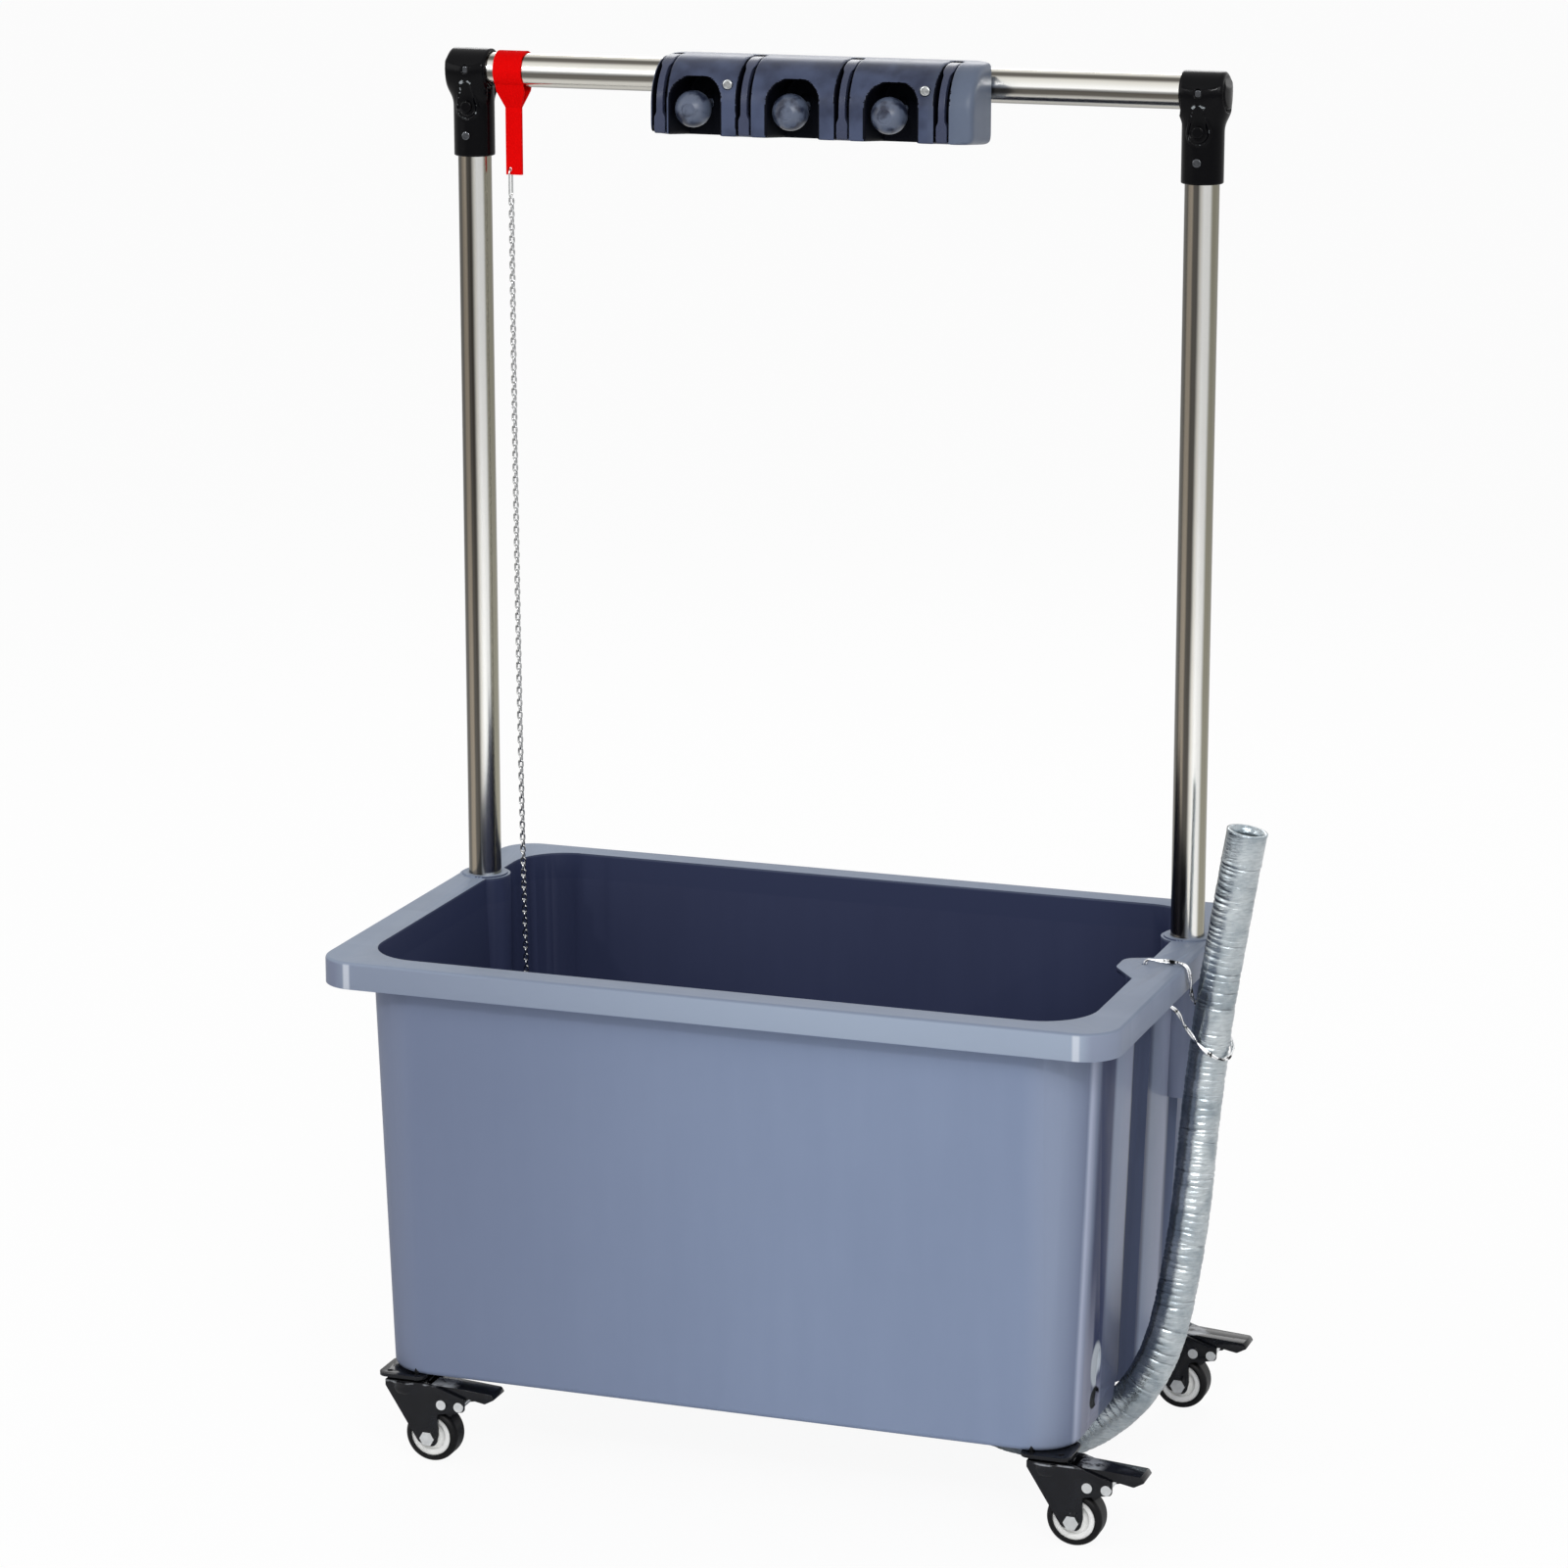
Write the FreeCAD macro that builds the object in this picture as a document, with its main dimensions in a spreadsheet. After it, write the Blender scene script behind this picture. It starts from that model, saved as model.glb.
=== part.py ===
import FreeCAD, Part
import math
import os
import Sketcher

# Freestanding laundry sink: a moulded tub on four braked casters, with a tube
# frame above it that carries a mop holder, a plug chain and a drain hose.
# Every length is in millimetres. The part's frame has its origin on the floor
# under the middle of the object's footprint, +X to the hose end, +Y to the back
# and +Z up. The solids are drawn about the middle of the tub and set into that
# frame by one shift along X, because the brake pedals reach past the rim.

SIZES = {
    # tub
    "rim_length": 600,
    "rim_depth": 376,
    "rim_top": 388.7,
    "rim_corner": 28,
    "rim_edge_round": 2.5,
    "skirt_height": 20,
    "body_length": 552,
    "body_depth": 341,
    "wall_draft": 11,
    "base_corner": 34,
    "base_round": 5,
    "tub_wall": 3.5,
    "floor_thickness": 4,
    "floor_round": 7,
    "corner_pad": 40,
    "corner_pad_height": 9,
    # upright sockets in the end walls
    "socket_reach": 280,
    "socket_back": 86,
    "socket_radius": 19.5,
    "socket_depth": 115,
    "socket_floor": 4,
    "collar_height": 1.2,
    "collar_step": 2,
    # hose channel in the right end wall
    "channel_reach": 290,
    "channel_forward": 13,
    "channel_radius": 26,
    "ear_reach": 253,
    "ear_front": 12,
    "ear_front_root": 44,
    "ear_back": 12,
    "ear_back_root": 21,
    "ear_round": 10,
    "arch_radius": 22,
    "arch_forward": 24,
    "arch_length": 34,
    "tie_hole_radius": 2.2,
    "tie_hole_reach": 270.7,
    "tie_hole_back": 1.3,
    "tie_hole_pitch": 18.4,
    "tie_hole_offset": 5,
    # moulded scoop beside the channel
    "scoop_forward": 91,
    "scoop_width": 9,
    "scoop_height": 44,
    "scoop_depth": 2,
    "scoop_base": 84,
    "scoop_hole_radius": 5.5,
    "scoop_hole_depth": 2.8,
    # tube frame
    "tube_diameter": 25,
    "tube_wall": 1,
    "tube_fit": 0.1,
    "bar_height": 1006.8,
    "bar_insertion": 26,
    "upright_stop": 14.8,
    # elbows
    "elbow_wall": 2.7,
    "elbow_drop": 64.3,
    "elbow_mouth": 15,
    "elbow_cap": 17,
    "elbow_cap_round": 3,
    "elbow_rim_round": 1,
    "recess_width": 17,
    "recess_height": 30,
    "recess_depth": 1.3,
    "recess_drop": 27,
    "elbow_screw_radius": 1.7,
    "elbow_screw_head": 3.2,
    "elbow_screw_head_height": 2,
    "elbow_screw_length": 7,
    "elbow_screw_drop": 48.5,
    "clamp_bolt_radius": 2.5,
    "clamp_bolt_head": 4.4,
    "clamp_bolt_head_height": 2.6,
    # mop holder
    "holder_centre": -7,
    "holder_left": 110,
    "holder_right": 135,
    "holder_height": 60,
    "holder_depth": 50,
    "holder_drop": 41.3,
    "holder_crown": 34,
    "holder_toe": 4.5,
    "holder_end_round": 4,
    "bay_pitch": 74.5,
    "bay_width": 38.4,
    "bay_height": 46.5,
    "bay_round": 16,
    "bay_back": 6,
    # hooks in the holder
    "hook_first_shift": 10,
    "hook_slot_width": 10.4,
    "hook_slot_depth": 10,
    "hook_slot_foot": 2,
    "hook_slot_end": 10,
    "hook_width": 8.4,
    "hook_inset": 0.8,
    "hook_thickness": 5.2,
    "hook_heel": 1,
    "hook_foot": 4.8,
    "hook_end_gap": 3.5,
    "hook_round": 2.3,
    "hook_pin_radius": 1.5,
    "hook_pin_inset": 4,
    "hook_pin_rise": 9,
    "hook_pin_engagement": 2,
    # rollers in the holder
    "roller_radius": 13.3,
    "roller_length": 24,
    "roller_shift": 4.7,
    "roller_front": 10.5,
    "roller_rise": 22.5,
    "roller_travel": 8,
    "track_angle": 5,
    "track_neck": 5.6,
    "track_head": 9,
    "track_neck_depth": 2,
    "track_head_depth": 2.8,
    "roller_pin_radius": 2.5,
    "roller_pin_foot": 4.1,
    "roller_pin_cap": 4.5,
    "roller_pin_cap_height": 1.6,
    # screws of the holder
    "holder_screw_shift": 24,
    "holder_screw_radius": 2,
    "holder_screw_head": 3.7,
    "holder_screw_head_height": 2.6,
    "holder_screw_seat": 6,
    "holder_screw_bite": 6,
    # strap, ring and chain
    "strap_reach": 248,
    "strap_width": 22,
    "strap_tail_width": 12.5,
    "strap_ply": 1.5,
    "strap_tail_drop": 77.8,
    "strap_join_drop": 28,
    "strap_taper_drop": 16,
    "strap_hole_rise": 4,
    "strap_hole_side": 3.2,
    "strap_hole_radius": 1.6,
    "ring_wire": 1.4,
    "ring_width": 7,
    "ring_length": 22,
    "chain_diameter": 5,
    # drain
    "flange_radius": 35,
    "flange_height": 3,
    "throat_radius": 20,
    "throat_bore": 17.2,
    "tail_length": 22,
    "gasket_radius": 32,
    "gasket_thickness": 2,
    "nut_across": 56,
    "nut_height": 8,
    "thread_fit": 0.2,
    "trap_radius": 24,
    "trap_height": 30,
    "trap_wall": 4,
    "outlet_height": 43,
    "outlet_radius": 12.3,
    "outlet_collar": 13.9,
    "outlet_bore": 9.5,
    "outlet_reach": 56,
    "plug_radius": 16.2,
    "plug_taper": 0.8,
    "plug_depth": 9,
    "plug_flange": 22,
    "plug_flange_height": 3,
    "plug_boss_radius": 3.4,
    "plug_boss_height": 9,
    "plug_eye_radius": 1.9,
    "plug_eye_drop": 3.4,
    "plug_ring_radius": 12,
    "plug_ring_wire": 1.6,
    # hose, clamp and tie
    "hose_diameter": 30,
    "hose_bore": 25,
    "rib_depth": 0.9,
    "rib_setback": 0.4,
    "rib_pitch": 9.5,
    "cuff_length": 25,
    "hose_start": 28,
    "clamp_thickness": 1.2,
    "clamp_width": 10,
    "clamp_setback": 14,
    "clamp_lug": 9,
    "tie_diameter": 2.2,
    # casters
    "caster_height": 68.6,
    "caster_reach": 248,
    "caster_side": 146,
    "wheel_radius": 20.5,
    "wheel_width": 20,
    "wheel_trail": 20,
    "tyre_round": 4.5,
    "core_radius": 15.7,
    "core_width": 17,
    "core_recess": 3,
    "core_ring": 4.5,
    "core_boss": 6,
    "core_fit": 0.05,
    "plate_size": 37,
    "plate_thickness": 2.6,
    "plate_corner": 7,
    "seat_radius": 11,
    "seat_height": 3.4,
    "swivel_gap": 0.3,
    "fork_thickness": 2.3,
    "fork_inside": 22.6,
    "fork_crown_back": 14,
    "fork_crown_front": 17,
    "kingpin_radius": 4,
    "kingpin_head": 7,
    "kingpin_head_height": 2.2,
    "axle_radius": 3,
    "axle_head_across": 10,
    "axle_head_height": 3.6,
    "running_fit": 0.05,
    "rivet_radius": 2.4,
    "rivet_head": 3.8,
    "rivet_head_height": 1.4,
    "pedal_pivot_reach": 31,
    "pedal_pivot_height": 47.5,
    "stop_reach": 45,
    "stop_height": 47.3,
    "pedal_width": 20.6,
    "pedal_tip": 72,
    "pedal_tip_height": 58.5,
    "pedal_belly": 52.8,
    "pedal_toe": 8,
    "pedal_toe_drop": 2.4,
    "caster_screw_offset": 11,
    "caster_screw_radius": 2,
    "caster_screw_head": 3.1,
    "caster_screw_head_height": 1.9,
    "caster_screw_length": 10,
    # shared clearance and overrun of the cutting tools
    "clearance": 0.3,
    "overrun": 2,
}

doc = FreeCAD.newDocument("laundry_sink")
sheet = doc.addObject("Spreadsheet::Sheet", "sizes")
for row, (alias, value) in enumerate(SIZES.items(), start=1):
    sheet.set("A%d" % row, alias)
    sheet.set("B%d" % row, str(value))
    sheet.setAlias("B%d" % row, alias)
doc.recompute()


class Size:
    """A length as both an expression for the document and its number now."""

    def __init__(self, text, value):
        self.text = text
        self.value = float(value)

    @staticmethod
    def of(other):
        return other if isinstance(other, Size) else Size(repr(float(other)), other)

    def join(self, other, sign, value):
        return Size("(%s %s %s)" % (self.text, sign, Size.of(other).text), value)

    def __add__(self, other):
        return self.join(other, "+", self.value + Size.of(other).value)

    def __sub__(self, other):
        return self.join(other, "-", self.value - Size.of(other).value)

    def __mul__(self, other):
        return self.join(other, "*", self.value * Size.of(other).value)

    def __truediv__(self, other):
        return self.join(other, "/", self.value / Size.of(other).value)

    def __radd__(self, other):
        return Size.of(other) + self

    def __rsub__(self, other):
        return Size.of(other) - self

    def __rmul__(self, other):
        return Size.of(other) * self

    def __neg__(self):
        return Size("(0 - %s)" % self.text, -self.value)

    def __float__(self):
        return self.value


class Sheet:
    """The spreadsheet's cells as sizes with the names of their aliases."""

    def __getattr__(self, alias):
        return Size("sizes.%s" % alias, float(sheet.get(alias)))


s = Sheet()


def root(size):
    """The square root of a size."""
    return Size("sqrt(%s)" % size.text, math.sqrt(size.value))


def sine(angle):
    """The sine of an angle in degrees."""
    return Size("sin(%s * 1 deg)" % angle.text, math.sin(math.radians(angle.value)))


def cosine(angle):
    """The cosine of an angle in degrees."""
    return Size("cos(%s * 1 deg)" % angle.text, math.cos(math.radians(angle.value)))


def arctangent(rise, run):
    """The angle in degrees of a slope."""
    return Size("atan(%s / %s)" % (rise.text, run.text),
                math.degrees(math.atan(rise.value / run.value)))


def bind(thing, **sizes):
    """Ties properties of an object to cells; a double underscore stands for a dot."""
    for name, size in sizes.items():
        thing.setExpression(name.replace("__", "."), Size.of(size).text)


def place(thing, x=0, y=0, z=0, axis=None, angle=0):
    """Sets an object's place from sizes, turned about an axis by degrees."""
    if axis is not None:
        thing.Placement = FreeCAD.Placement(
            FreeCAD.Vector(0, 0, 0), FreeCAD.Rotation(FreeCAD.Vector(*axis), 1))
        bind(thing, Placement__Rotation__Angle=angle)
    bind(thing, Placement__Base__x=x, Placement__Base__y=y, Placement__Base__z=z)
    return thing


names = iter(range(1, 100000))
SAME_PLACE = 1e-4  # places nearer than this count as one, in millimetres


def new(kind, label):
    thing = doc.addObject(kind, "item%d" % next(names))
    thing.Label = label
    return thing


def cylinder(label, radius, height, x=0, y=0, z=0, axis=None, angle=90):
    thing = new("Part::Cylinder", label)
    bind(thing, Radius=radius, Height=height)
    return place(thing, x, y, z, axis, angle)


def box(label, low, high):
    thing = new("Part::Box", label)
    bind(thing, Length=high[0] - low[0], Width=high[1] - low[1], Height=high[2] - low[2])
    return place(thing, *low)


def torus(label, radius, wire, x=0, y=0, z=0, axis=None, angle=90):
    thing = new("Part::Torus", label)
    bind(thing, Radius1=radius, Radius2=wire)
    return place(thing, x, y, z, axis, angle)


def fuse(label, things):
    joined = new("Part::MultiFuse", label)
    joined.Shapes = things
    joined.Refine = True
    return joined


def cut(label, base, tools):
    result = new("Part::Cut", label)
    result.Base = base
    result.Tool = tools[0] if len(tools) == 1 else fuse(label + " tools", tools)
    result.Refine = True
    return result


def common(label, first, second):
    result = new("Part::Common", label)
    result.Base = first
    result.Tool = second
    return result


def body_of(label):
    return new("PartDesign::Body", label)


def sketch_on(body, role, offset=0):
    """A sketch on one of the body's own planes, moved along the plane's normal."""
    sketch = body.newObject("Sketcher::SketchObject", "sketch%d" % next(names))
    plane = [f for f in body.Origin.OriginFeatures if f.Role == role][0]
    sketch.AttachmentSupport = [(plane, "")]
    sketch.MapMode = "FlatFace"
    bind(sketch, AttachmentOffset__Base__z=offset)
    return sketch


def tie_point(sketch, geometry, end, x, y):
    """Ties a point of a sketch to two sizes."""
    for kind, size in (("DistanceX", x), ("DistanceY", y)):
        size = Size.of(size)
        index = sketch.addConstraint(Sketcher.Constraint(kind, geometry, end, size.value))
        name = "size%d" % index
        sketch.renameConstraint(index, name)
        bind(sketch, **{"Constraints__" + name: size})


def tie_radius(sketch, geometry, radius):
    radius = Size.of(radius)
    index = sketch.addConstraint(Sketcher.Constraint("Radius", geometry, radius.value))
    name = "size%d" % index
    sketch.renameConstraint(index, name)
    bind(sketch, **{"Constraints__" + name: radius})


def corner_arc(before, corner, after, radius):
    """Start, middle and end of the arc that rounds a corner."""
    arms = []
    for other in (before, after):
        arm = FreeCAD.Vector(*other, 0) - FreeCAD.Vector(*corner, 0)
        arms.append(arm.normalize())
    half = arms[0].getAngle(arms[1]) / 2
    point = FreeCAD.Vector(*corner, 0)
    reach = radius / math.tan(half)
    bisector = (arms[0] + arms[1]).normalize()
    centre = point + bisector * (radius / math.sin(half))
    return point + arms[0] * reach, centre - bisector * radius, point + arms[1] * reach


def outline(sketch, points):
    """A closed outline through corners (x, y) or rounded corners (x, y, radius)."""
    count = len(points)
    flat = [(float(p[0]), float(p[1])) for p in points]
    arcs = {}
    for i, point in enumerate(points):
        if len(point) > 2:
            arcs[i] = corner_arc(flat[i - 1], flat[i], flat[(i + 1) % count], float(point[2]))
    lines = []
    for i in range(count):
        after = (i + 1) % count
        start = arcs[i][2] if i in arcs else FreeCAD.Vector(*flat[i], 0)
        end = arcs[after][0] if after in arcs else FreeCAD.Vector(*flat[after], 0)
        lines.append(sketch.addGeometry(Part.LineSegment(start, end), False))
    for i, point in enumerate(points):
        before = lines[i - 1]
        if i not in arcs:
            sketch.addConstraint(Sketcher.Constraint("Coincident", before, 2, lines[i], 1))
            tie_point(sketch, lines[i], 1, point[0], point[1])
            continue
        arc_points = arcs[i]
        edge = Part.ArcOfCircle(*arc_points)
        arc = sketch.addGeometry(edge, False)
        centre = edge.Center
        begins_first = (arc_points[0] - centre).cross(arc_points[2] - centre).z > 0
        first, last = (1, 2) if begins_first else (2, 1)
        sketch.addConstraint(Sketcher.Constraint("Tangent", before, 2, arc, first))
        sketch.addConstraint(Sketcher.Constraint("Tangent", arc, last, lines[i], 1))
        tie_radius(sketch, arc, point[2])
        corner = sketch.addGeometry(Part.Point(FreeCAD.Vector(*flat[i], 0)), True)
        sketch.addConstraint(Sketcher.Constraint("PointOnObject", corner, 1, before))
        sketch.addConstraint(Sketcher.Constraint("PointOnObject", corner, 1, lines[i]))
        tie_point(sketch, corner, 1, point[0], point[1])
    return sketch


def circle(sketch, x, y, radius):
    middle = FreeCAD.Vector(float(x), float(y), 0)
    index = sketch.addGeometry(Part.Circle(middle, FreeCAD.Vector(0, 0, 1), float(radius)), False)
    tie_radius(sketch, index, radius)
    tie_point(sketch, index, 3, x, y)
    return sketch


def rectangle(half_x, half_y, radius):
    """The corners of a rounded rectangle about the origin."""
    return [(half_x * a, half_y * b, radius) for a, b in ((-1, -1), (1, -1), (1, 1), (-1, 1))]


def pad(body, sketch, length, both_ways=False):
    feature = body.newObject("PartDesign::Pad", "pad%d" % next(names))
    feature.Profile = sketch
    feature.Midplane = both_ways
    bind(feature, Length=length)
    return feature


def pocket(body, sketch, length):
    feature = body.newObject("PartDesign::Pocket", "pocket%d" % next(names))
    feature.Profile = sketch
    bind(feature, Length=length)
    return feature


def revolve(body, sketch, axis="V_Axis"):
    feature = body.newObject("PartDesign::Revolution", "revolution%d" % next(names))
    feature.Profile = sketch
    feature.ReferenceAxis = (sketch, [axis])
    feature.Angle = 360
    return feature


def rounded(body, base, edges, radius):
    feature = body.newObject("PartDesign::Fillet", "fillet%d" % next(names))
    feature.Base = (base, edges)
    bind(feature, Radius=radius)
    return feature


def flat_edges(feature, height):
    """The names of a feature's edges that lie at one height."""
    doc.recompute()
    found = []
    for number, edge in enumerate(feature.Shape.Edges, start=1):
        bounds = edge.BoundBox
        if max(abs(bounds.ZMin - float(height)), abs(bounds.ZMax - float(height))) < SAME_PLACE:
            found.append("Edge%d" % number)
    return found


def extruded(label, role, offset, points, length, both_ways=False):
    """A body that is one outline pushed along a plane's normal."""
    body = body_of(label)
    pad(body, outline(sketch_on(body, role, offset), points), length, both_ways)
    return body


def turned(label, points):
    """A body that is one outline, in radius and height, turned about its own Z."""
    body = body_of(label)
    revolve(body, outline(sketch_on(body, "XZ_Plane"), points))
    return body


tube_radius = s.tube_diameter / 2
tub_base = s.caster_height
floor_top = tub_base + s.floor_thickness
body_height = s.rim_top - tub_base
holder_back = s.socket_back - tube_radius
holder_base = s.bar_height - s.holder_drop
holder_front = holder_back - s.holder_depth
bay_centres = [s.holder_centre + s.bay_pitch * step for step in (-1, 0, 1)]
frame_shift = -((s.caster_reach + s.pedal_tip) - s.rim_length / 2) / 2

finished = {}


def keep(node, thing, shifted=True):
    """Names a finished sub-part and moves it from the tub's middle to the frame."""
    thing.Label = node
    if shifted:
        bind(thing, Placement__Base__x=frame_shift)
    finished[node] = thing
    return thing


def shifted(x):
    return x + frame_shift


# Tub


def wall_half(inward, height):
    """Half length and half depth of the drafted walls at a height."""
    out = s.wall_draft * (s.rim_top - height) / body_height + inward
    return s.body_length / 2 - out, s.body_depth / 2 - out


def tub_form(label, inward, base, top, rounding):
    """The drafted box of the body, or of its inside, with a rounded foot."""
    body = body_of(label)
    foot = rectangle(*wall_half(inward, base), s.base_corner - inward)
    block = pad(body, outline(sketch_on(body, "XY_Plane", base), foot), top - base)
    doc.recompute()
    sides, flat = [], []
    for number, face in enumerate(block.Shape.Faces, start=1):
        bounds = face.BoundBox
        if bounds.ZMax - bounds.ZMin > float(top - base) / 2:
            sides.append("Face%d" % number)
        elif abs(bounds.ZMin - float(base)) < SAME_PLACE:
            flat.append("Face%d" % number)
    draft = body.newObject("PartDesign::Draft", "draft%d" % next(names))
    draft.Base = (block, sides)
    draft.NeutralPlane = (block, flat)
    draft.Reversed = True
    bind(draft, Angle=arctangent(s.wall_draft, body_height))
    rounded(body, draft, flat_edges(draft, base), rounding)
    return body


def leaning(label, radius, top_reach, forward, base, top):
    """A cylinder that leans with the draft of the right end wall."""
    lean = arctangent(s.wall_draft, body_height)
    start = top_reach - s.wall_draft * (s.rim_top - base) / body_height
    return cylinder(label, radius, top - base, start, -forward, base, (0, 1, 0), lean)


def make_tub():
    outer = tub_form("tub outside", 0, tub_base, s.rim_top, s.base_round)
    inner = tub_form("tub inside", s.tub_wall, floor_top, s.rim_top + s.overrun, s.floor_round)
    rim = body_of("tub rim")
    slab = pad(rim, outline(sketch_on(rim, "XY_Plane", s.rim_top - s.skirt_height),
                            rectangle(s.rim_length / 2, s.rim_depth / 2, s.rim_corner)),
               s.skirt_height)
    rounded(rim, slab, flat_edges(slab, s.rim_top), s.rim_edge_round)
    under = sketch_on(rim, "XY_Plane", s.rim_top - s.tub_wall)
    outline(under, rectangle(s.rim_length / 2 - s.tub_wall, s.rim_depth / 2 - s.tub_wall,
                             s.rim_corner - s.tub_wall))
    pocket(rim, under, s.skirt_height)

    socket_base = s.rim_top - s.socket_depth - s.socket_floor
    groove_radius = s.socket_radius - s.tub_wall
    columns, bosses, grooves, bores = [], [], [], []
    for side in (-1, 1):
        reach = s.socket_reach * side
        columns.append(cylinder("column", s.socket_radius, body_height + s.overrun,
                                reach, s.socket_back, tub_base))
        bosses.append(cylinder("socket boss", s.socket_radius, s.rim_top - socket_base,
                               reach, s.socket_back, socket_base))
        bosses.append(cylinder("socket collar", s.socket_radius - s.collar_step,
                               s.collar_height + s.tub_wall,
                               reach, s.socket_back, s.rim_top - s.tub_wall))
        grooves.append(cylinder("column groove", groove_radius,
                                socket_base - tub_base + s.overrun,
                                reach, s.socket_back, tub_base - s.overrun))
        bores.append(cylinder("socket bore", tube_radius + s.tube_fit,
                              s.socket_depth + s.overrun + s.collar_height,
                              reach, s.socket_back, s.rim_top - s.socket_depth))
    grooves.append(leaning("hose channel", s.channel_radius, s.channel_reach,
                           s.channel_forward, tub_base - s.overrun, s.rim_top - s.tub_wall))
    bump = leaning("hose channel inside", s.channel_radius + s.tub_wall, s.channel_reach,
                   s.channel_forward, tub_base, s.rim_top + s.overrun)
    arch_end = s.body_length / 2 + s.overrun
    arch_start = s.body_length / 2 - s.wall_draft - s.arch_length
    arch_wall = s.arch_radius + s.tub_wall
    grooves.append(cylinder("hose arch", s.arch_radius, arch_end - arch_start,
                            arch_start, -s.arch_forward, tub_base, (0, 1, 0)))
    arch_bump = cylinder("hose arch inside", arch_wall, arch_end - arch_start + s.tub_wall,
                         arch_start - s.tub_wall, -s.arch_forward, tub_base, (0, 1, 0))

    base_half = [half - s.overrun for half in wall_half(0, tub_base)]
    pads = []
    for a in (-1, 1):
        for b in (-1, 1):
            inside = [base_half[0] * a, base_half[1] * b]
            reach = [inside[0] - s.corner_pad * a, inside[1] - s.corner_pad * b]
            low = [inside[0] if a < 0 else reach[0], inside[1] if b < 0 else reach[1]]
            high = [inside[0] if a > 0 else reach[0], inside[1] if b > 0 else reach[1]]
            pads.append(box("corner pad", (*low, tub_base),
                            (*high, floor_top + s.corner_pad_height)))

    scoop_middle = s.scoop_base + s.scoop_height / 2
    scoop_wall = wall_half(0, scoop_middle)[0]
    scoop = new("Part::Ellipsoid", "scoop")
    bind(scoop, Radius1=s.scoop_height / 2, Radius2=s.scoop_depth, Radius3=s.scoop_width / 2)
    scoop.Angle1, scoop.Angle2, scoop.Angle3 = -90, 90, 360
    place(scoop, scoop_wall, -s.scoop_forward, scoop_middle)
    hole_wall = wall_half(0, s.scoop_base)[0]
    grooves.append(scoop)
    grooves.append(cylinder("scoop hole", s.scoop_hole_radius, s.scoop_hole_depth + s.overrun,
                            hole_wall - s.scoop_hole_depth, -s.scoop_forward,
                            s.scoop_base + s.scoop_hole_radius, (0, 1, 0)))

    outside = cut("tub outside with channels", outer, grooves)
    room = cut("tub room", inner, columns + [bump, arch_bump] + pads)
    full = fuse("tub with rim", [outside, rim] + bosses)
    root_reach = s.body_length / 2
    ear = extruded("ear", "XY_Plane", s.rim_top - s.tub_wall, [
        (root_reach, -s.ear_front_root), (root_reach, s.ear_back_root),
        (s.ear_reach, s.ear_back, s.ear_round), (s.ear_reach, -s.ear_front, s.ear_round)],
        s.tub_wall)
    open_tub = fuse("open tub", [cut("open room", full, [room]), ear])
    holes = bores + [cylinder("drain hole", s.throat_radius + s.clearance,
                              s.floor_thickness + s.overrun * 2, 0, 0, tub_base - s.overrun)]
    for number in (0, 1):
        holes.append(cylinder("tie hole", s.tie_hole_radius, s.tub_wall * 3,
                              s.tie_hole_reach + s.tie_hole_pitch * number,
                              s.tie_hole_back + s.tie_hole_offset * number,
                              s.rim_top - s.tub_wall * 2))
    for x, y in caster_screw_places():
        holes.append(cylinder("screw hole", s.caster_screw_radius + s.tube_fit,
                              s.caster_screw_length + s.overrun, x, y, tub_base - s.overrun))
    keep("tub", cut("tub", open_tub, holes))


# Casters


corners = [("front_left", -1, -1), ("front_right", 1, -1),
           ("back_left", -1, 1), ("back_right", 1, 1)]
axle_height = s.wheel_radius
plate_base = s.caster_height - s.plate_thickness
seat_base = plate_base - s.seat_height
crown_top = seat_base - s.swivel_gap
crown_base = crown_top - s.fork_thickness
fork_outside = s.fork_inside / 2 + s.fork_thickness


def caster_screw_places():
    """The three screws of each caster plate that reach the tub's corner pads."""
    places = []
    for _, a, b in corners:
        for p, q in ((-1, -1), (-1, 1), (1, -1)):
            places.append((s.caster_reach * a + s.caster_screw_offset * a * p,
                           s.caster_side * b + s.caster_screw_offset * b * q))
    return places


def make_caster_screws():
    parts = []
    for x, y in caster_screw_places():
        shank = cylinder("shank", s.caster_screw_radius,
                         s.caster_screw_length - s.clearance + s.plate_thickness,
                         x, y, plate_base)
        head = cylinder("head", s.caster_screw_head, s.caster_screw_head_height,
                        x, y, plate_base - s.caster_screw_head_height)
        parts.append(fuse("caster screw", [shank, head]))
    keep("caster_screws", group(parts))


def group(parts):
    """Separate solids of identical pieces, kept as one sub-part."""
    together = new("Part::Compound", "group")
    together.Links = parts
    return together


def caster_plate(name, a, b):
    half = s.plate_size / 2
    body = body_of(name)
    flat = outline(sketch_on(body, "XY_Plane", plate_base), rectangle(half, half, s.plate_corner))
    for p, q in ((-1, -1), (-1, 1), (1, -1), (1, 1)):
        circle(flat, s.caster_screw_offset * p, s.caster_screw_offset * q,
               s.caster_screw_radius + s.tube_fit)
    pad(body, flat, s.plate_thickness)
    seat = cylinder("seat", s.seat_radius, s.seat_height, 0, 0, seat_base)
    pin_base = crown_base - s.swivel_gap - s.kingpin_head_height
    pin = cylinder("kingpin", s.kingpin_radius, plate_base - pin_base, 0, 0, pin_base)
    head = cylinder("kingpin head", s.kingpin_head, s.kingpin_head_height, 0, 0, pin_base)
    whole = fuse(name, [body, seat, pin, head])
    return place(whole, shifted(s.caster_reach * a), s.caster_side * b)


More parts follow.
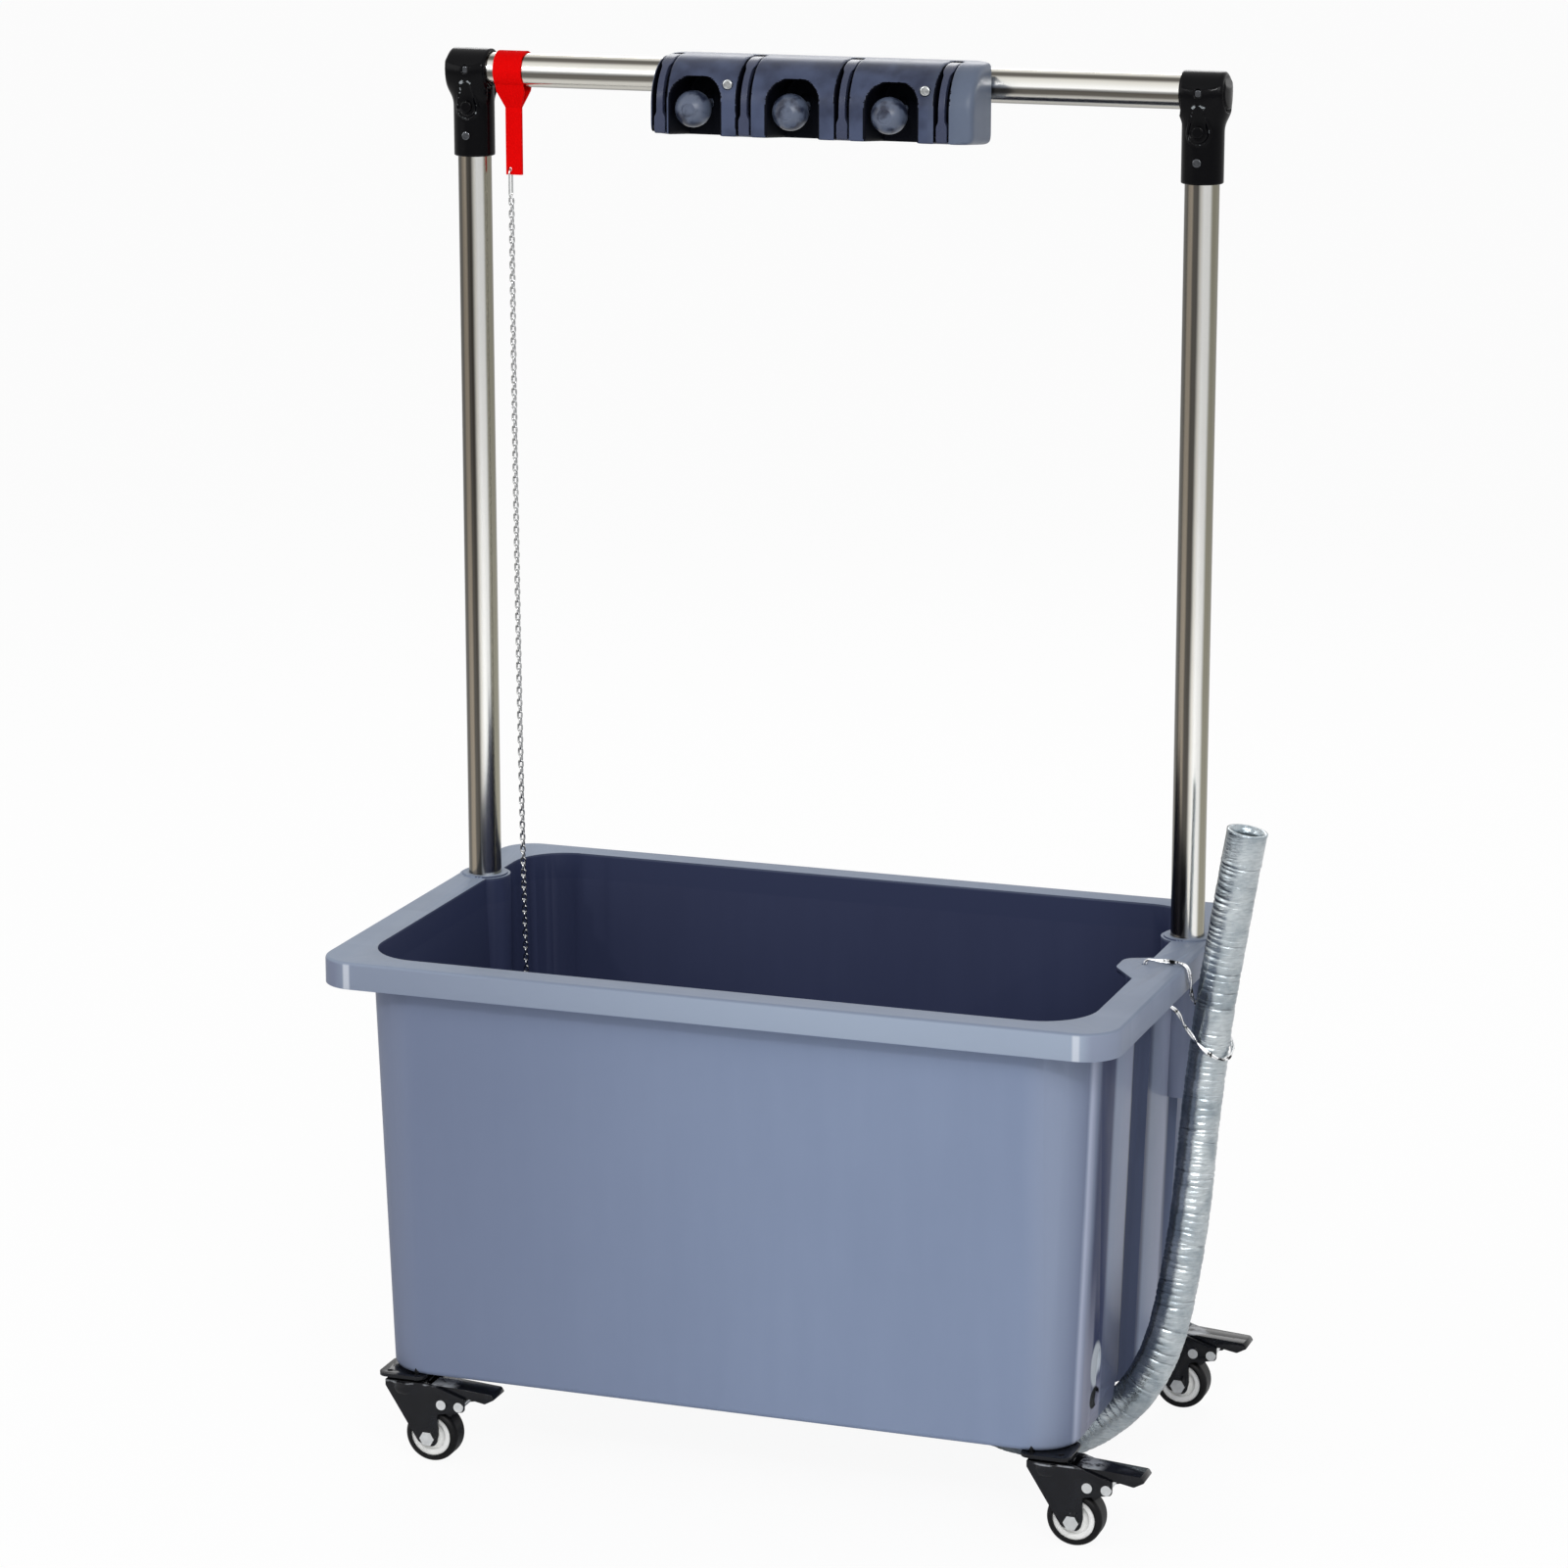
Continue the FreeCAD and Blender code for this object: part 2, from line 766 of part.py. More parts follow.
def fork_outline():
    """The side view of a fork leg, from the crown down to the axle."""
    axle = s.wheel_trail
    boss = s.axle_radius * 2.6
    return [(-s.fork_crown_back, crown_top),
            (s.fork_crown_front + s.rivet_head, crown_top, s.fork_thickness),
            (s.stop_reach + s.rivet_head + s.clearance, s.stop_height + s.rivet_head * 1.6,
             s.fork_thickness),
            (s.stop_reach + s.rivet_head, s.stop_height - s.rivet_head, s.fork_thickness),
            (s.pedal_pivot_reach - s.rivet_head, axle_height + s.core_radius * 1.2,
             s.fork_thickness),
            (axle + boss, axle_height + boss * 0.3),
            (axle + boss * 0.7, axle_height - boss, boss * 0.6),
            (axle - boss, axle_height - boss * 0.6, boss * 0.6),
            (-s.fork_crown_back, crown_base - s.fork_thickness)]


def caster_fork(name, a, b):
    legs = extruded("legs", "XZ_Plane", 0, fork_outline(), fork_outside * 2, True)
    gap = box("gap", (-s.fork_crown_back - s.overrun, -s.fork_inside / 2, 0),
              (s.pedal_tip, s.fork_inside / 2, crown_base))
    throat = box("pedal gap", (s.fork_crown_front, -s.fork_inside / 2, 0),
                 (s.pedal_tip, s.fork_inside / 2, s.caster_height))
    bore = cylinder("kingpin bore", s.kingpin_radius + s.running_fit, s.caster_height, 0, 0, 0)
    tools = [gap, throat, bore]
    for x, z, radius in ((s.wheel_trail, axle_height, s.axle_radius),
                         (s.pedal_pivot_reach, s.pedal_pivot_height, s.rivet_radius),
                         (s.stop_reach, s.stop_height, s.rivet_radius)):
        tools.append(cylinder("hole", radius + s.running_fit, fork_outside * 2 + s.overrun * 2,
                              x, fork_outside + s.overrun, z, (1, 0, 0)))
    crown = cylinder("crown", s.fork_crown_back, s.fork_thickness, 0, 0, crown_base)
    whole = cut(name, fuse("fork blank", [legs, crown]), tools)
    return place(whole, shifted(s.caster_reach * a), s.caster_side * b)


def caster_tyre(name, a, b):
    half = s.wheel_width / 2
    inner = s.core_radius + s.core_fit
    points = [(inner, -half), (s.wheel_radius, -half, s.tyre_round),
              (s.wheel_radius, half, s.tyre_round), (inner, half)]
    return place(turned(name, points), shifted(s.caster_reach * a + s.wheel_trail),
                 s.caster_side * b, axle_height, (1, 0, 0), 90)


def caster_core(name, a, b):
    half = s.core_width / 2
    bore = s.axle_radius + s.running_fit
    boss_half = s.fork_inside / 2 - s.clearance
    ring = s.core_radius - s.core_ring
    points = [(bore, -boss_half), (s.core_boss, -boss_half), (s.core_boss, s.core_recess - half),
              (ring, s.core_recess - half), (ring, -half), (s.core_radius, -half),
              (s.core_radius, half), (ring, half), (ring, half - s.core_recess),
              (s.core_boss, half - s.core_recess), (s.core_boss, boss_half), (bore, boss_half)]
    return place(turned(name, points), shifted(s.caster_reach * a + s.wheel_trail),
                 s.caster_side * b, axle_height, (1, 0, 0), 90)


def hexagon(across):
    """The corners of a hexagon about the origin, from its width across flats."""
    reach = across / math.sqrt(3)
    return [(reach * math.cos(math.radians(60 * k)), reach * math.sin(math.radians(60 * k)))
            for k in range(6)]


def caster_pins(name, a, b):
    """The axle bolt with its head and nut, and the two rivets of the brake."""
    parts = [cylinder("axle", s.axle_radius, fork_outside * 2, s.wheel_trail, fork_outside,
                      axle_height, (1, 0, 0))]
    for side in (-1, 1):
        hexes = [(x + s.wheel_trail, z + axle_height) for x, z in hexagon(s.axle_head_across)]
        middle = fork_outside * side + s.axle_head_height / 2 * side
        parts.append(extruded("axle head", "XZ_Plane", -middle, hexes,
                              s.axle_head_height, True))
    solids = [fuse("axle bolt", parts)]
    for x, z in ((s.pedal_pivot_reach, s.pedal_pivot_height), (s.stop_reach, s.stop_height)):
        shank = cylinder("rivet", s.rivet_radius, fork_outside * 2, x, fork_outside, z, (1, 0, 0))
        near = cylinder("rivet head", s.rivet_head, s.rivet_head_height, x, -fork_outside, z,
                        (1, 0, 0))
        far = cylinder("rivet tail", s.rivet_head, s.rivet_head_height, x,
                       fork_outside + s.rivet_head_height, z, (1, 0, 0))
        solids.append(fuse("rivet", [shank, near, far]))
    return place(group(solids), shifted(s.caster_reach * a), s.caster_side * b)


def pedal_outline():
    """The side view of the brake pedal, with the shoe that meets the tyre."""
    pivot_x, pivot_z = s.pedal_pivot_reach, s.pedal_pivot_height
    sheet_up = s.fork_thickness
    tip_z = s.pedal_tip_height
    head = s.rivet_head
    return [(s.fork_crown_front + s.fork_thickness, crown_top - s.swivel_gap, sheet_up),
            (s.pedal_tip - sheet_up, tip_z, sheet_up),
            (s.pedal_tip, tip_z - sheet_up * 1.6, sheet_up / 2),
            (s.pedal_tip - s.pedal_toe, s.pedal_belly - s.pedal_toe_drop, sheet_up),
            (s.stop_reach + head * 1.6, s.pedal_belly),
            (s.stop_reach - head * 1.5, s.pedal_belly),
            (pivot_x + head * 2.3, pivot_z - head * 2),
            (pivot_x + head * 1.16, pivot_z - head * 2.76),
            (pivot_x - head, pivot_z - head),
            (pivot_x - head * 1.8, pivot_z + head)]


def caster_pedal(name, a, b):
    blank = extruded("pedal blank", "XZ_Plane", 0, pedal_outline(), s.pedal_width, True)
    hole = cylinder("pivot hole", s.rivet_radius + s.running_fit,
                    s.pedal_width + s.overrun * 2, s.pedal_pivot_reach,
                    s.pedal_width / 2 + s.overrun, s.pedal_pivot_height, (1, 0, 0))
    whole = cut(name, blank, [hole])
    return place(whole, shifted(s.caster_reach * a), s.caster_side * b)


def make_casters():
    makers = {"plate": caster_plate, "fork": caster_fork, "tyre": caster_tyre,
              "wheel_core": caster_core, "axle_and_rivets": caster_pins,
              "brake_pedal": caster_pedal}
    for corner, a, b in corners:
        for piece, maker in makers.items():
            name = corner + "_" + piece
            keep(name, maker(name, a, b), False)
    make_caster_screws()


# Tube frame


def make_frame():
    upright_base = s.rim_top - s.socket_depth
    upright_top = s.bar_height - s.upright_stop
    for name, side in (("left_upright", -1), ("right_upright", 1)):
        body = body_of(name)
        ring = circle(sketch_on(body, "XY_Plane", upright_base), 0, 0, tube_radius)
        circle(ring, 0, 0, tube_radius - s.tube_wall)
        pad(body, ring, upright_top - upright_base)
        hole = cylinder("screw hole", s.elbow_screw_radius + s.tube_fit, tube_radius + s.overrun,
                        0, 0, s.bar_height - s.elbow_screw_drop, (1, 0, 0))
        whole = cut(name, body, [hole])
        place(whole, shifted(s.socket_reach * side), s.socket_back)
        keep(name, whole, False)
    body = body_of("crossbar")
    half = s.socket_reach - s.elbow_mouth + s.bar_insertion
    ring = circle(sketch_on(body, "YZ_Plane"), s.socket_back, s.bar_height, tube_radius)
    circle(ring, s.socket_back, s.bar_height, tube_radius - s.tube_wall)
    pad(body, ring, half * 2, True)
    holes = [cylinder("screw hole", s.elbow_screw_radius + s.tube_fit, tube_radius + s.overrun,
                      s.socket_reach * side, s.socket_back, s.bar_height, (1, 0, 0))
             for side in (-1, 1)]
    for x in holder_screw_places():
        holes.append(cylinder("holder screw hole", s.holder_screw_radius + s.tube_fit,
                              tube_radius + s.overrun, x, s.socket_back, s.bar_height,
                              (1, 0, 0)))
    keep("crossbar", cut("crossbar", body, holes))


def holder_screw_places():
    return [bay_centres[0] + s.holder_screw_shift, bay_centres[2] + s.holder_screw_shift]


# Elbows


barrel_radius = tube_radius + s.tube_fit + s.elbow_wall
recess_height = s.bar_height - s.recess_drop


def make_elbow(name, side):
    """A two-way elbow: an open barrel on the upright and a capped one on the bar."""
    upright = body_of("upright barrel")
    rim = s.elbow_rim_round
    revolve(upright, outline(sketch_on(upright, "XZ_Plane"), [
        (0, s.bar_height - s.elbow_drop),
        (barrel_radius, s.bar_height - s.elbow_drop, rim),
        (barrel_radius, s.bar_height), (0, s.bar_height)]))
    level = body_of("bar barrel")
    revolve(level, outline(sketch_on(level, "XZ_Plane"), [
        (0, -s.elbow_mouth), (barrel_radius, -s.elbow_mouth, rim),
        (barrel_radius, s.elbow_cap, s.elbow_cap_round), (0, s.elbow_cap)]))
    place(level, 0, 0, s.bar_height, (0, 1, 0), 90 * side)
    blank = fuse("elbow blank", [upright, level])
    bore = tube_radius + s.tube_fit
    inset = s.bar_insertion - s.elbow_mouth
    start = -s.elbow_mouth - s.overrun
    level_bore = cylinder("bar bore", bore, s.bar_insertion + s.overrun,
                          start * side, 0, s.bar_height, (0, 1, 0), 90 * side)
    upright_bore = cylinder("upright bore", bore, s.elbow_drop - s.upright_stop + s.overrun,
                            0, 0, s.bar_height - s.elbow_drop - s.overrun)
    recess = body_of("recess")
    half = s.recess_width / 2
    pad(recess, outline(sketch_on(recess, "XZ_Plane", barrel_radius - s.recess_depth), [
        (-half, recess_height - s.recess_height / 2, half * 0.95),
        (half, recess_height - s.recess_height / 2, half * 0.95),
        (half, recess_height + s.recess_height / 2, half * 0.95),
        (-half, recess_height + s.recess_height / 2, half * 0.95)]), s.recess_depth + s.overrun)
    tools = [level_bore, upright_bore, recess]
    for z, radius in ((s.bar_height, s.elbow_screw_radius),
                      (s.bar_height - s.elbow_screw_drop, s.elbow_screw_radius),
                      (recess_height, s.clamp_bolt_radius)):
        tools.append(cylinder("screw hole", radius + s.tube_fit, barrel_radius + s.overrun,
                              0, 0, z, (1, 0, 0)))
    whole = cut(name, blank, tools)
    place(whole, shifted(s.socket_reach * side), s.socket_back)
    keep(name, whole, False)


def front_screw(label, radius, head, head_height, length, x, seat, z):
    """A screw that enters the front of a piece, with its head on a seat plane."""
    shank = cylinder(label, radius, length, x, seat + length, z, (1, 0, 0))
    cap = cylinder(label + " head", head, head_height, x, seat, z, (1, 0, 0))
    return fuse(label, [shank, cap])


def make_elbow_fasteners():
    screws, bolts = [], []
    face = s.socket_back - barrel_radius
    for side in (-1, 1):
        x = s.socket_reach * side
        for z in (s.bar_height, s.bar_height - s.elbow_screw_drop):
            screws.append(front_screw("elbow screw", s.elbow_screw_radius, s.elbow_screw_head,
                                      s.elbow_screw_head_height, s.elbow_screw_length,
                                      x, face, z))
        seat = face + s.recess_depth
        depth = s.elbow_wall - s.recess_depth
        bolts.append(front_screw("clamp bolt", s.clamp_bolt_radius, s.clamp_bolt_head,
                                 s.clamp_bolt_head_height, depth, x, seat, recess_height))
    keep("elbow_screws", group(screws))
    keep("elbow_clamp_bolts", group(bolts))


# Mop holder


crown_radius = s.holder_crown
holder_top = holder_base + s.holder_height


def hook_places():
    """The hooks stand between the bays and beside the outer ones."""
    half = s.bay_pitch / 2
    middle = [s.holder_centre - half, s.holder_centre + half]
    return [middle[0] - s.bay_pitch + s.hook_first_shift, middle[0], middle[1],
            middle[1] + s.bay_pitch]


def track_outline(width):
    """A slanted slot about the roller's lowest place, in X and Z from there."""
    half = width / 2
    up = (-sine(s.track_angle), cosine(s.track_angle))
    across = (cosine(s.track_angle), sine(s.track_angle))
    corners_of_slot = []
    for along, side in ((-half, -1), (-half, 1), (s.roller_travel + half, 1),
                        (s.roller_travel + half, -1)):
        corners_of_slot.append((across[0] * half * side + up[0] * along,
                                across[1] * half * side + up[1] * along, half * 0.9))
    return corners_of_slot


def moved(points, x, z):
    return [(p[0] + x, p[1] + z) + tuple(p[2:]) for p in points]


def make_housing():
    body = body_of("holder_housing")
    side = outline(sketch_on(body, "YZ_Plane", s.holder_centre - s.holder_left), [
        (holder_back, holder_base), (holder_back, holder_top),
        (holder_front, holder_top, crown_radius),
        (holder_front, holder_base + s.holder_toe)])
    blank = pad(body, side, s.holder_left + s.holder_right)
    doc.recompute()
    ends = []
    for x in (s.holder_centre - s.holder_left, s.holder_centre + s.holder_right):
        for number, edge in enumerate(blank.Shape.Edges, start=1):
            bounds = edge.BoundBox
            flat = max(abs(bounds.XMin - float(x)), abs(bounds.XMax - float(x))) < SAME_PLACE
            if flat and bounds.YMin < float(holder_back) - SAME_PLACE:
                ends.append("Edge%d" % number)
    rounded(body, blank, ends, s.holder_end_round)
    half = s.bay_width / 2
    plate_front = holder_back - s.bay_back
    for centre in bay_centres:
        bay = outline(sketch_on(body, "XZ_Plane", -(holder_front - s.overrun)), [
            (centre - half, holder_base - s.overrun), (centre + half, holder_base - s.overrun),
            (centre + half, holder_base + s.bay_height, s.bay_round),
            (centre - half, holder_base + s.bay_height, s.bay_round)])
        pocket(body, bay, s.holder_depth - s.bay_back + s.overrun)
        x = centre - s.roller_shift
        z = holder_base + s.roller_rise
        neck = outline(sketch_on(body, "XZ_Plane", -plate_front),
                       moved(track_outline(s.track_neck), x, z))
        pocket(body, neck, s.track_neck_depth + s.clearance)
        head = outline(sketch_on(body, "XZ_Plane", -(plate_front + s.track_neck_depth)),
                       moved(track_outline(s.track_head), x, z))
        pocket(body, head, s.track_head_depth)
    slot_top = holder_top - s.hook_slot_depth
    slot_back = holder_front + s.hook_slot_depth
    for x in hook_places():
        slot = outline(sketch_on(body, "YZ_Plane", x + s.hook_slot_width / 2), [
            (holder_front - s.overrun, holder_base + s.hook_slot_foot),
            (slot_back, holder_base + s.hook_slot_foot),
            (slot_back, slot_top, crown_radius - s.hook_slot_depth),
            (holder_back - s.hook_slot_end, slot_top),
            (holder_back - s.hook_slot_end, holder_top + s.overrun),
            (holder_front - s.overrun, holder_top + s.overrun)])
        pocket(body, slot, s.hook_slot_width)
        pin = circle(sketch_on(body, "YZ_Plane",
                               x + s.hook_slot_width / 2 + s.hook_pin_engagement),
                     holder_front + s.hook_pin_inset, holder_base + s.hook_pin_rise,
                     s.hook_pin_radius + s.running_fit)
        pocket(body, pin, s.hook_slot_width + s.hook_pin_engagement * 2)
    for x in holder_screw_places():
        seat = circle(sketch_on(body, "XZ_Plane", -(holder_front - s.overrun)),
                      x, s.bar_height, s.holder_screw_head + s.clearance)
        pocket(body, seat, s.holder_screw_seat + s.overrun)
        shank = circle(sketch_on(body, "XZ_Plane", -(holder_front - s.overrun)),
                       x, s.bar_height, s.holder_screw_radius + s.tube_fit)
        pocket(body, shank, s.holder_depth + s.overrun * 2)
    keep("holder_housing", body)


def make_hooks():
    front = holder_front + s.hook_inset
    top = holder_top - s.hook_inset
    back = front + s.hook_thickness
    end = holder_back - s.hook_slot_end - s.hook_end_gap
    foot = holder_base + s.hook_foot
    pin_y = holder_front + s.hook_pin_inset
    pin_z = holder_base + s.hook_pin_rise
    pins = []
    for number, x in enumerate(hook_places(), start=1):
        name = "holder_hook_%d" % number
        blank = extruded("hook blank", "YZ_Plane", x, [
            (front, foot, s.hook_round), (back + s.hook_heel, foot, s.hook_round),
            (back, top - s.hook_thickness, crown_radius - s.hook_inset - s.hook_thickness),
            (end, top - s.hook_thickness), (end, top),
            (front, top, crown_radius - s.hook_inset)], s.hook_width, True)
        hole = cylinder("pin hole", s.hook_pin_radius + s.running_fit,
                        s.hook_width + s.overrun * 2, x - s.hook_width / 2 - s.overrun,
                        pin_y, pin_z, (0, 1, 0))
        keep(name, cut(name, blank, [hole]))
        length = s.hook_slot_width + s.hook_pin_engagement * 2 - s.clearance
        pins.append(cylinder("hook pin", s.hook_pin_radius, length, x - length / 2,
                             pin_y, pin_z, (0, 1, 0)))
    keep("holder_hook_pins", group(pins))


def make_rollers():
    plate_front = holder_back - s.bay_back
    ball_front = holder_front - s.roller_length / 2 + s.roller_front
    half = s.roller_length / 2
    z = holder_base + s.roller_rise
    cap_depth = s.roller_pin_cap_height + s.clearance
    bore = s.roller_pin_radius + s.running_fit
    for number, centre in enumerate(bay_centres, start=1):
        x = centre - s.roller_shift
        ball = new("Part::Sphere", "ball")
        bind(ball, Radius=s.roller_radius)
        slab = box("slab", (-s.roller_radius, -s.roller_radius, -half),
                   (s.roller_radius, s.roller_radius, half))
        hole = cylinder("bore", bore, s.roller_length + s.overrun * 2, 0, 0, -half - s.overrun)
        seat = cylinder("cap seat", s.roller_pin_cap + s.running_fit * 2, cap_depth + s.overrun,
                        0, 0, half - cap_depth)
        name = "holder_roller_%d" % number
        whole = cut(name, common("roller blank", ball, slab), [hole, seat])
        place(whole, shifted(x), ball_front + half, z, (1, 0, 0), 90)
        keep(name, whole, False)
        foot_front = plate_front + s.track_neck_depth + s.clearance
        foot_back = plate_front + s.track_neck_depth + s.track_head_depth - s.clearance
        cap_front = ball_front + s.clearance
        pin = fuse("holder_roller_pin_%d" % number, [
            cylinder("stem", s.roller_pin_radius, foot_back - cap_front, x, foot_back, z,
                     (1, 0, 0)),
            cylinder("foot", s.roller_pin_foot, foot_back - foot_front, x, foot_back, z,
                     (1, 0, 0)),
            cylinder("cap", s.roller_pin_cap, s.roller_pin_cap_height, x,
                     cap_front + s.roller_pin_cap_height, z, (1, 0, 0))])
        keep("holder_roller_pin_%d" % number, pin)


def make_holder_screws():
    seat = holder_front + s.holder_screw_seat
    length = holder_back - seat + s.holder_screw_bite
    keep("holder_screws", group([
        front_screw("holder screw", s.holder_screw_radius, s.holder_screw_head,
                    s.holder_screw_head_height, length, x, seat, s.bar_height)
        for x in holder_screw_places()]))


# Strap and the wire ring that carries the chain


def make_strap():
    x = -s.strap_reach
    inner = tube_radius + s.tube_fit
    outer = inner + s.strap_ply
    middle = s.socket_back
    join = s.bar_height - s.strap_join_drop
    end = s.bar_height - s.strap_tail_drop
    width = s.strap_width
    loop = cylinder("loop", outer, width, x - width / 2, middle, s.bar_height, (0, 1, 0))
    plies = extruded("plies", "YZ_Plane", x, [
        (middle - outer, s.bar_height), (middle - s.strap_ply, join), (middle - s.strap_ply, end),
        (middle + s.strap_ply, end), (middle + s.strap_ply, join),
        (middle + outer, s.bar_height)], width, True)
    room = cylinder("bar room", inner, width + s.overrun * 2, x - width / 2 - s.overrun,
                    middle, s.bar_height, (0, 1, 0))
    gap = extruded("gap", "YZ_Plane", x, [
        (middle - inner, s.bar_height), (middle, join + s.strap_ply * 2),
        (middle + inner, s.bar_height)], width + s.overrun * 2, True)
    folded = cut("folded strap", fuse("strap blank", [loop, plies]), [room, gap])
    half, tail = width / 2, s.strap_tail_width / 2
    top = s.bar_height + outer + s.overrun
    shoulder = s.bar_height - s.strap_taper_drop
    front = extruded("strap front", "XZ_Plane", -middle, [
        (x - half, top), (x - half, shoulder), (x - tail, join), (x - tail, end - s.overrun),
        (x + tail, end - s.overrun), (x + tail, join), (x + half, shoulder), (x + half, top)],
        outer * 2 + s.overrun * 2, True)
    narrowed = common("narrowed strap", folded, front)
    hole = cylinder("ring hole", s.strap_hole_radius, s.strap_ply * 2 + s.overrun * 2,
                    x - s.strap_hole_side, middle + s.strap_ply + s.overrun,
                    end + s.strap_hole_rise, (1, 0, 0))
    keep("strap", cut("strap", narrowed, [hole]))


def make_chain_ring():
    """A long ring of wire that hangs from the hole in the strap."""
    wire = s.ring_wire / 2
    half = s.ring_width / 2 - wire
    x = -s.strap_reach - s.strap_hole_side
    hole = s.bar_height - s.strap_tail_drop + s.strap_hole_rise
    top = hole - half
    bottom = top + half * 2 + wire * 2 - s.ring_length
    parts = []
    for height, up in ((top, True), (bottom, False)):
        bend = torus("bend", half, wire, x, s.socket_back, height, (0, 1, 0), 90)
        low = height if up else height - s.ring_width
        room = box("half", (x - wire * 2, s.socket_back - s.ring_width, low),
                   (x + wire * 2, s.socket_back + s.ring_width, low + s.ring_width))
        parts.append(common("half bend", bend, room))
    for side in (-1, 1):
        parts.append(cylinder("side", wire, top - bottom, x, s.socket_back + half * side, bottom))
    keep("chain_ring", fuse("chain_ring", parts))
    return bottom - half - wire


# Tubes along a route of straight runs and arcs


def route_wire(points):
    """Straight runs joined by tangent arcs; a point's fourth value limits its arc."""
    limits = [point[3] if len(point) > 3 else math.inf for point in points]
    points = [FreeCAD.Vector(*point[:3]) for point in points]
    edges, radii = [], []
    start = points[0]
    for i in range(1, len(points) - 1):
        corner = points[i]
        back, ahead = points[i - 1] - corner, points[i + 1] - corner
        half = back.getAngle(ahead) / 2
        radius = min(0.45 * min(back.Length, ahead.Length) * math.tan(half), limits[i])
        reach = radius / math.tan(half)
        first = corner + back.normalize() * reach
        last = corner + ahead.normalize() * reach
        bisector = (back + ahead).normalize()
        middle = corner + bisector * (radius / math.sin(half) - radius)
        edges.append(Part.LineSegment(start, first).toShape())
        edges.append(Part.Arc(first, middle, last).toShape())
        start = last
        radii.append(radius)
    edges.append(Part.LineSegment(start, points[-1]).toShape())
    return Part.Wire(edges), radii


def tube_along(wire, radius):
    start = wire.Edges[0]
    direction = start.tangentAt(start.FirstParameter)
    ring = Part.Circle(start.valueAt(start.FirstParameter), direction, radius)
    return wire.makePipeShell([Part.Wire([ring.toShape()])], True, False)


def free_shape(node, shape):
    """A sub-part whose shape is set directly, moved into the part's frame."""
    thing = new("Part::Feature", node)
    thing.Shape = shape
    return keep(node, thing)


def check_tube(name, shape, section, length, radii):
    print(name, "radii", [round(radius, 1) for radius in radii])
    print(name, "volume", round(shape.Volume, 1), "section by length",
          round(section * length, 1), "length", round(length, 1))


def make_chain(ring_bottom):
    """The plug chain: plumb from the ring, then along the tub's floor to the plug."""
    radius = float(s.chain_diameter) / 2
    low = float(floor_top) + radius + float(s.clearance)
    x = -float(s.strap_reach) - float(s.strap_hole_side)
    back = float(s.socket_back)
    eye = plug_top_height() + float(s.plug_boss_height) - float(s.plug_eye_drop)
    points = [(x, back, float(ring_bottom) - float(s.clearance))]
    for share_x, share_y, rise in chain_shares:
        points.append((x * share_x, back * share_y, low + rise))
    end = (-float(s.plug_ring_radius) * 2 - float(s.plug_ring_wire) / 2
           - float(s.chain_diameter) / 4)
    points.append((end, 0, eye))
    wire, radii = route_wire(points)
    shape = tube_along(wire, radius)
    check_tube("plug_chain", shape, math.pi * radius ** 2, wire.Length, radii)
    free_shape("plug_chain", shape)


# Places of the chain's bends on the tub's floor, as shares of the ring's own
# distances from the tub's middle, each with its rise above the floor.
chain_shares = [(1.0, 1.0, 0), (0.83, 0.86, 0), (0.64, 0.80, 0), (0.45, 0.47, 0),
                (0.32, 0.31, 0), (0.21, 0.16, 4), (0.145, 0.06, 8)]


# Drain


def plug_top_height():
    return (float(floor_top) + float(s.flange_height) + float(s.clearance)
            + float(s.plug_flange_height))


